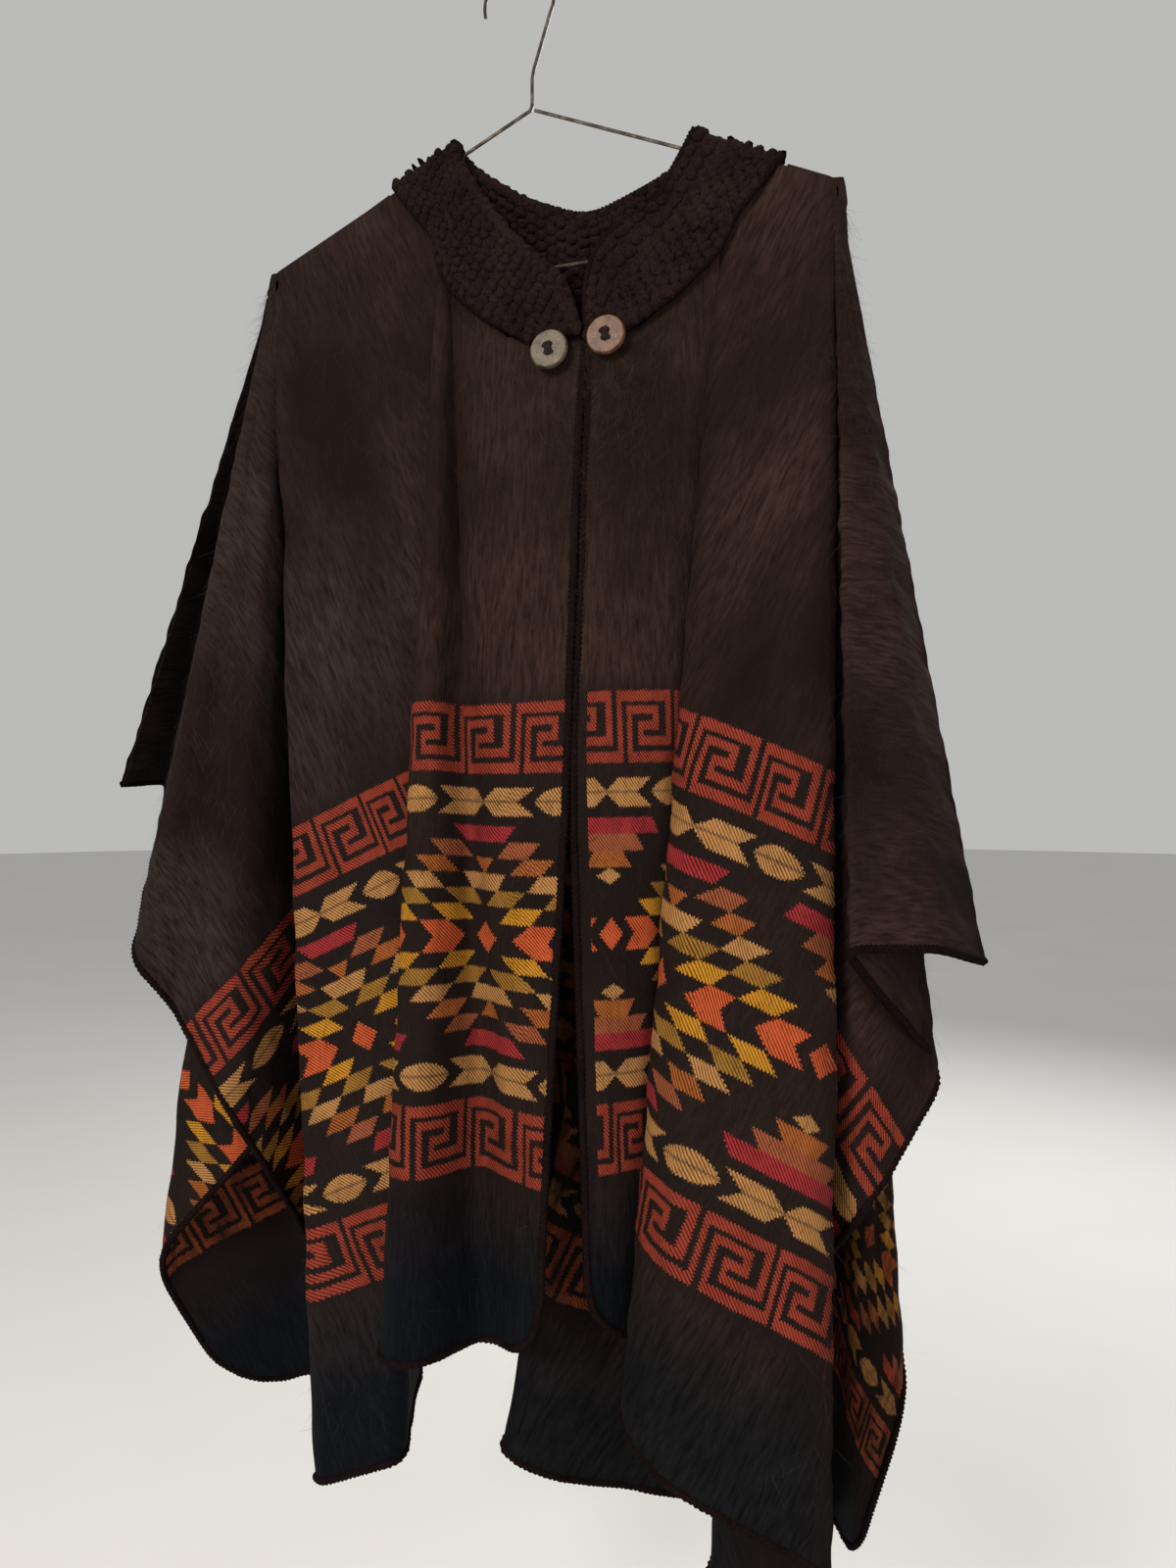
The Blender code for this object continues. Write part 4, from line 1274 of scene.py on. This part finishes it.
def shoulder_fold(name, front, back, side, material):
    """The cloth that rolls over the shoulder from a front to the back."""
    at_f, points_f, normals_f = fold_line(front, side, True)
    at_b, points_b, normals_b = fold_line(back, side, False)
    at = np.linspace(max(at_f[0], at_b[0]), min(at_f[-1], at_b[-1]), FOLD_STATIONS)
    start = interpolated(at, at_f, points_f) + SHELL_HALF * interpolated(at, at_f, normals_f)
    end = interpolated(at, at_b, points_b) + SHELL_HALF * interpolated(at, at_b, normals_b)
    middle = (start + end) / 2
    half = (end - start) / 2
    tangent = np.gradient(middle, axis=0)
    up = unit(np.cross(tangent, half))
    up *= np.sign(up[:, 2:3])
    size = lengths(half)[:, None]
    rows = []
    for angle in np.radians(FOLD_ANGLES):
        rows.append(middle - math.cos(angle) * half + math.sin(angle) * FOLD_HEIGHT * size * up)
    grid = np.stack(rows)
    faces = grid_faces(*grid.shape[:2], flip=side > 0)
    obj = mesh_object(name, grid, faces, material)
    u = np.broadcast_to(side * at, grid.shape[:2])
    v = np.broadcast_to(np.linspace(-FOLD_REACH, FOLD_REACH, len(rows))[:, None], grid.shape[:2])
    place = np.stack([u, v, np.zeros(grid.shape[:2])], -1)
    write_vector(obj, "weave_place", place)
    write_vector(obj, "cloth_place", place)
    return obj


def spread(grid, rows, columns):
    """A grid of points resampled to rows by columns, evenly along both ways."""
    down = summed(lengths(np.diff(grid, axis=0)).mean(axis=1))
    across = summed(lengths(np.diff(grid, axis=1)).mean(axis=0))
    grid = interpolated(np.linspace(0, down[-1], rows), down, grid)
    grid = interpolated(np.linspace(0, across[-1], columns), across, grid.swapaxes(0, 1))
    return np.ascontiguousarray(grid.swapaxes(0, 1))


COLLAR_COUNTS = (300, 34)
BAND_HALF = 0.42 * COLLAR_WALL
BOBBLE_SEED = 7
BOBBLE_PITCH = 0.0092
BOBBLE_ROW = 0.0066
BOBBLE_SIZE = 0.0046
BOBBLE_HEIGHT = 0.0034
BOBBLE_LONG = 1.10
BOBBLE_NARROW = 0.82
BOBBLE_LUMPS = 0.12
BOBBLE_SHIFT = 0.25
RIM_STEP = 0.0016
RIM_RADIUS = 0.0024
RIM_PITCH = 0.0062


def lump(rings, around):
    """A unit half-round knot of yarn: points and quads."""
    lat = np.linspace(0.0, 0.5 * math.pi, rings)[::-1]
    lon = np.linspace(0, 2 * math.pi, around, endpoint=False)
    x = np.cos(lat)[:, None] * np.cos(lon)
    y = np.cos(lat)[:, None] * np.sin(lon)
    z = np.sin(lat)[:, None] * np.ones(around)
    return np.stack([x, y, z], -1).reshape(-1, 3), grid_faces(rings, around, closed=True)


def collar_band(fine, normal, flip, material):
    """The knitted band, as a closed section round its two faces."""
    section = np.concatenate([fine + BAND_HALF * normal, (fine - BAND_HALF * normal)[:, ::-1]], axis=1)
    shape = section.shape[:2]
    faces = grid_faces(*shape, flip=flip, closed=True)
    band = mesh_object("collar_band", section, faces, material)
    write_uv(band, grid_uv(*shape))
    return band


def bobble(round_knot, fine, normal, i, m, rng):
    """The points of one knot of yarn that stands on the band, at row i and column m of its grid."""
    i0, m0 = int(i), int(m)
    here = fine[i0, m0]
    place = here + (i - i0) * (fine[i0 + 1, m0] - here)
    place = place + (m - m0) * (fine[i0, m0 + 1] - here)
    z = normal[i0, m0]
    x = fine[i0 + 1, m0] - here
    x = x / np.linalg.norm(x)
    y = np.cross(z, x)
    turn = rng.normal(0, 0.35)
    x, y = x * math.cos(turn) + y * math.sin(turn), y * math.cos(turn) - x * math.sin(turn)
    size = BOBBLE_SIZE * rng.uniform(0.88, 1.12)
    tall = BOBBLE_HEIGHT * rng.uniform(0.75, 1.15)
    around = np.arctan2(round_knot[:, 1], round_knot[:, 0])
    wobble = 1 + BOBBLE_LUMPS * np.sin(3 * around + rng.uniform(0, 6.28))
    shape = (
        (round_knot[:, :1] * wobble[:, None]) * x * size * BOBBLE_LONG
        + (round_knot[:, 1:2] * wobble[:, None]) * y * size * BOBBLE_NARROW
        + round_knot[:, 2:] * z * tall
    )
    return place + z * BAND_HALF * 0.8 + shape


def line_of_bobbles(round_knot, fine, normal, j, lines, rng):
    """The bobbles of line j along the band, half a pitch from those of the next line."""
    stations, rows = fine.shape[:2]
    reached = lengths_along(fine[:, int((j + 0.5) / lines * (rows - 1))])
    count = round(reached[-1] / BOBBLE_PITCH)
    shift = BOBBLE_SHIFT if j % 2 else -BOBBLE_SHIFT
    made = []
    for k in range(count):
        across = (j + 0.5 + rng.normal(0, 0.07)) / lines
        along = (k + 0.5 + shift + rng.normal(0, 0.09)) / count * reached[-1]
        i = min(np.interp(along, reached, np.arange(stations)), stations - 1.001)
        m = min(max(across * (rows - 1), 0), rows - 1.001)
        made.append(bobble(round_knot, fine, normal, i, m, rng))
    return made


def collar_bobbles(fine, normal, material):
    """The bobbles on both faces of the band, as one piece."""
    rng = np.random.default_rng(BOBBLE_SEED)
    round_knot, quads = lump(5, 9)
    width = lengths(np.diff(fine, axis=1)).sum(axis=1)
    lines = round(np.percentile(width, 85) / BOBBLE_ROW)
    made = []
    for face in (1.0, -1.0):
        for j in range(lines):
            made += line_of_bobbles(round_knot, fine, normal * face, j, lines, rng)
    points, faces = joined([(knot, quads) for knot in made])
    return mesh_object("collar_bobbles", points, faces, material)


def collar_edge(fine, material):
    """The rolled edge right round the collar."""
    rim = np.concatenate([fine[:, 0], fine[-1], fine[::-1, -1], fine[0, ::-1]])
    keep = np.concatenate([[True], lengths(np.diff(rim, axis=0)) > 1e-6])
    path = resampled(rim[keep], RIM_STEP)
    points, faces = tube(path, RIM_RADIUS, 10, pitch=RIM_PITCH, depth=0.25)
    return mesh_object("collar_edge", points, faces, material)


def knit_collar(material, edge_material):
    """The collar: a knitted band covered in bobbles on both faces, with a rolled edge."""
    grid, outward = collar_grid()
    fine = spread(grid, *COLLAR_COUNTS)
    normal = normals_of(fine)
    sign = np.sign((normal * spread(outward, *COLLAR_COUNTS)).sum())
    normal = normal * sign
    band = collar_band(fine, normal, sign > 0, material)
    bobbles = collar_bobbles(fine, normal, material)
    return band, bobbles, collar_edge(fine, edge_material)


HAIR_LENGTH = (0.008, 0.026)
HAIR_WIDTH = 0.00016
HAIR_LEAN = 0.45
HAIR_CURL = 0.25
HAIR_LIFT = (0.0006, 0.0042)
HAIR_TAPER = 0.75
HAIR_STOPS = (0.0, 0.35, 0.7, 1.0)
HAIRS = {"front_left": 9000, "front_right": 8000, "back": 12000}


def nap_hairs(name, surface, material):
    """Long fine hairs of the brushed wool, lying down the cloth and lifting at their ends."""
    _, _, points, normal = surface
    rows, columns = points.shape[:2]
    rng = np.random.default_rng(len(name))
    count = HAIRS[name]
    r = rng.uniform(0.03, 0.97, count) * (rows - 1)
    c = rng.uniform(0.01, 0.99, count) * (columns - 1)
    r0, c0 = r.astype(int), c.astype(int)
    root = points[r0, c0] + (r - r0)[:, None] * (points[r0 + 1, c0] - points[r0, c0])
    root = root + (c - c0)[:, None] * (points[r0, c0 + 1] - points[r0, c0])
    out = normal[r0, c0]
    down = unit(points[r0 + 1, c0] - points[r0, c0])
    side = np.cross(out, down)
    lean = rng.normal(0, HAIR_LEAN, count)[:, None]
    way = down * np.cos(lean) + side * np.sin(lean)
    across = np.cross(way, out)
    length = rng.uniform(*HAIR_LENGTH, count)[:, None]
    curl = rng.normal(0, HAIR_CURL, count)[:, None]
    lift = rng.uniform(*HAIR_LIFT, count)[:, None]
    verts = []
    for stop in HAIR_STOPS:
        centre = root + out * (SHELL_HALF + lift * stop**1.6) + way * length * stop
        centre = centre + across * length * curl * stop**2
        half = HAIR_WIDTH / 2 * (1 - HAIR_TAPER * stop)
        verts.append(centre - across * half)
        verts.append(centre + across * half)
    grid = np.stack(verts, 1)
    index = np.arange(count)[:, None, None] * len(verts)
    quads = np.array([[0, 1, 3, 2], [2, 3, 5, 4], [4, 5, 7, 6]])[None]
    return mesh_object(name + "_nap", grid, (index + quads).reshape(-1, 4), material)


KNOT_RADIUS = 0.0013
KNOT_PITCH = 0.003
KNOT_HALF_SPAN = 0.0042
KNOT_LIFT = 0.0012
KNOT_RISE = 0.0019
# The turns of yarn over a button: how far each is turned, and how far it lies from the middle
KNOT_TURNS = ((0.25, -0.0011), (0.25, 0.0011), (-0.5, 0.0), (0.9, 0.0004))


def button_knot(name, node, material):
    """The yarn that ties a button on: turns that cross over its middle."""
    low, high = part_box(node.name)
    centre = (np.array(low) + np.array(high)) / 2
    area = np.zeros(3)
    for face in node.data.polygons:
        if face.normal.y < 0:
            area += np.array(face.normal) * face.area
    facing = area / np.linalg.norm(area)
    down = np.array([0.0, 0.0, -1.0])
    down = down - facing * (down @ facing)
    down /= np.linalg.norm(down)
    side = np.cross(facing, down)
    angle = np.linspace(-1.25, 1.25, 15)
    parts = []
    for turn, shift in KNOT_TURNS:
        way = down * math.cos(turn) + side * math.sin(turn)
        off = np.cross(way, facing) * shift
        path = centre + off + way * (KNOT_HALF_SPAN * np.sin(angle))[:, None]
        path = path + facing * (KNOT_LIFT + KNOT_RISE * np.cos(angle))[:, None]
        parts.append(tube(path, KNOT_RADIUS, 8, pitch=KNOT_PITCH, depth=0.2))
    return mesh_object(name, *joined(parts), material)


# ---------------- stage, light and camera

# The camera, fitted to the photo; its focal length is in the photo's pixels
CAMERA_PLACE = (0.3015, -0.7529, -0.5875)
CAMERA_TURN = 19.0
FOCAL_PIXELS = 1155.0
IMAGE_HEIGHT = 1600.0
SENSOR_HEIGHT = 36.0
FLOOR_Z = -1.45
FLOOR_RINGS = (0.0004, 1.5, 5.0, 15.0)
LIGHTS_AIM = (0.0, 0.0, -0.65)
# Lights: place, size, power, colour
LIGHTS = {
    "key_light": ((-0.7, -2.4, 0.55), 0.9, 62.0, (1.0, 0.93, 0.84)),
    "fill_light": ((2.1, -1.7, -0.1), 1.4, 22.0, (1.0, 0.96, 0.92)),
    "back_light": ((0.6, 2.3, 0.7), 1.6, 50.0, (1.0, 0.98, 0.96)),
}
SKY = (0.80, 0.80, 0.79, 1.0)
SKY_POWER = 0.62


def add_camera():
    data = bpy.data.cameras.new("camera")
    data.sensor_fit = "VERTICAL"
    data.sensor_height = SENSOR_HEIGHT
    data.lens = SENSOR_HEIGHT * FOCAL_PIXELS / IMAGE_HEIGHT
    data.clip_start = 0.02
    camera = bpy.data.objects.new("camera", data)
    camera.location = CAMERA_PLACE
    camera.rotation_euler = (math.radians(90), 0, math.radians(CAMERA_TURN))
    bpy.context.scene.collection.objects.link(camera)
    bpy.context.scene.camera = camera


def add_area(name, place, size, power, colour):
    """A round area light that looks at the middle of the garment."""
    data = bpy.data.lights.new(name, "AREA")
    data.shape = "DISK"
    data.size = size
    data.energy = power
    data.color = colour
    light = bpy.data.objects.new(name, data)
    light.location = place
    light.rotation_euler = (Vector(LIGHTS_AIM) - Vector(place)).to_track_quat("-Z", "Y").to_euler()
    bpy.context.scene.collection.objects.link(light)


def add_stage():
    """A wide pale floor, which runs to a pale horizon on all sides."""
    turns = np.linspace(0, 2 * math.pi, 97)[:-1]
    rings = [[(r * math.cos(t), r * math.sin(t), FLOOR_Z) for t in turns] for r in FLOOR_RINGS]
    faces = grid_faces(len(rings), len(turns), flip=True, closed=True)
    floor = mesh_object("studio_floor", rings, faces, floor_material())


def add_lights():
    for name, light in LIGHTS.items():
        add_area(name, *light)
    world = bpy.context.scene.world or bpy.data.worlds.new("world")
    bpy.context.scene.world = world
    world.use_nodes = True
    background = world.node_tree.nodes["Background"]
    background.inputs[0].default_value = SKY
    background.inputs[1].default_value = SKY_POWER
    bpy.context.scene.view_settings.view_transform = "Standard"


# ---------------- putting it together

# Colours of the plain yarns, dark and light, and of the buttons, dark, middle and light
EDGE_COLOURS = ((0.0032, 0.0018, 0.0017), (0.0130, 0.0076, 0.0068))
COLLAR_COLOURS = ((0.0042, 0.0023, 0.0023), (0.0230, 0.0128, 0.0122))
HAIR_COLOURS = ((0.014, 0.0090, 0.0070), (0.060, 0.040, 0.030))
KNOT_COLOURS = ((0.006, 0.0052, 0.0046), (0.030, 0.024, 0.020))
BUTTON_COLOURS = {
    "button_left": ((0.022, 0.013, 0.006), (0.085, 0.058, 0.030), (0.24, 0.19, 0.12)),
    "button_right": ((0.035, 0.012, 0.005), (0.120, 0.050, 0.023), (0.24, 0.14, 0.07)),
}


def go_with_garment(slot, *pieces):
    """Pieces that hang with the garment, attached to its root; the slot is not used."""
    for piece in pieces:
        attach(piece, "root")


def add_panels(edge_yarn):
    """The cloth, crocheted edges, long nap and shoulder folds of the three panels."""
    outer_wool = wool("brushed_wool")
    inner_wool = wool("brushed_wool_inside", inner=True)
    hair_yarn = yarn_material("nap_hair", *HAIR_COLOURS, scale=90.0)
    shells, surfaces, extras = {}, {}, {}
    for panel in PANELS:
        (shells[panel], inside), surfaces[panel] = cloth_shell(panel, outer_wool, inner_wool)
        edge = crochet_edge(panel + "_edge", surfaces[panel], edge_yarn)
        extras[panel] = [inside, edge, nap_hairs(panel, surfaces[panel], hair_yarn)]
    for side, front in ((-1, "front_left"), (1, "front_right")):
        name = front.replace("front", "shoulder")
        fold = shoulder_fold(name, surfaces[front], surfaces["back"], side, outer_wool)
        extras[front].append(fold)
    for panel in PANELS:
        shell, others = shells[panel], extras[panel]
        go_with_garment(panel + "_wool", shell, *others)
        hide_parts(panel)


def add_collar(edge_yarn):
    collar_yarn = yarn_material("collar_yarn", *COLLAR_COLOURS, sheen=0.010)
    band, bobbles, rim = knit_collar(collar_yarn, edge_yarn)
    go_with_garment("collar_knit", band, bobbles, rim)
    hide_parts("collar")


def add_looks(nodes):
    """Looks of the nodes that stay as the CAD made them, and the yarn on the buttons."""
    knot_yarn = yarn_material("knot_yarn", *KNOT_COLOURS)
    for name, colours in BUTTON_COLOURS.items():
        nodes[name].data.materials.clear()
        nodes[name].data.materials.append(shell_material(name + "_polish", *colours))
        knot = button_knot(name + "_knot", nodes[name], knot_yarn)
        go_with_garment(name + "_shell", knot)
    nodes["hanger"].data.materials.clear()
    nodes["hanger"].data.materials.append(wire_material())


def main():
    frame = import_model()
    add_camera()
    edge_yarn = yarn_material("edge_yarn", *EDGE_COLOURS, sheen=0.0)
    add_panels(edge_yarn)
    add_collar(edge_yarn)
    add_looks(frame["nodes"])
    add_stage()
    add_lights()


main()
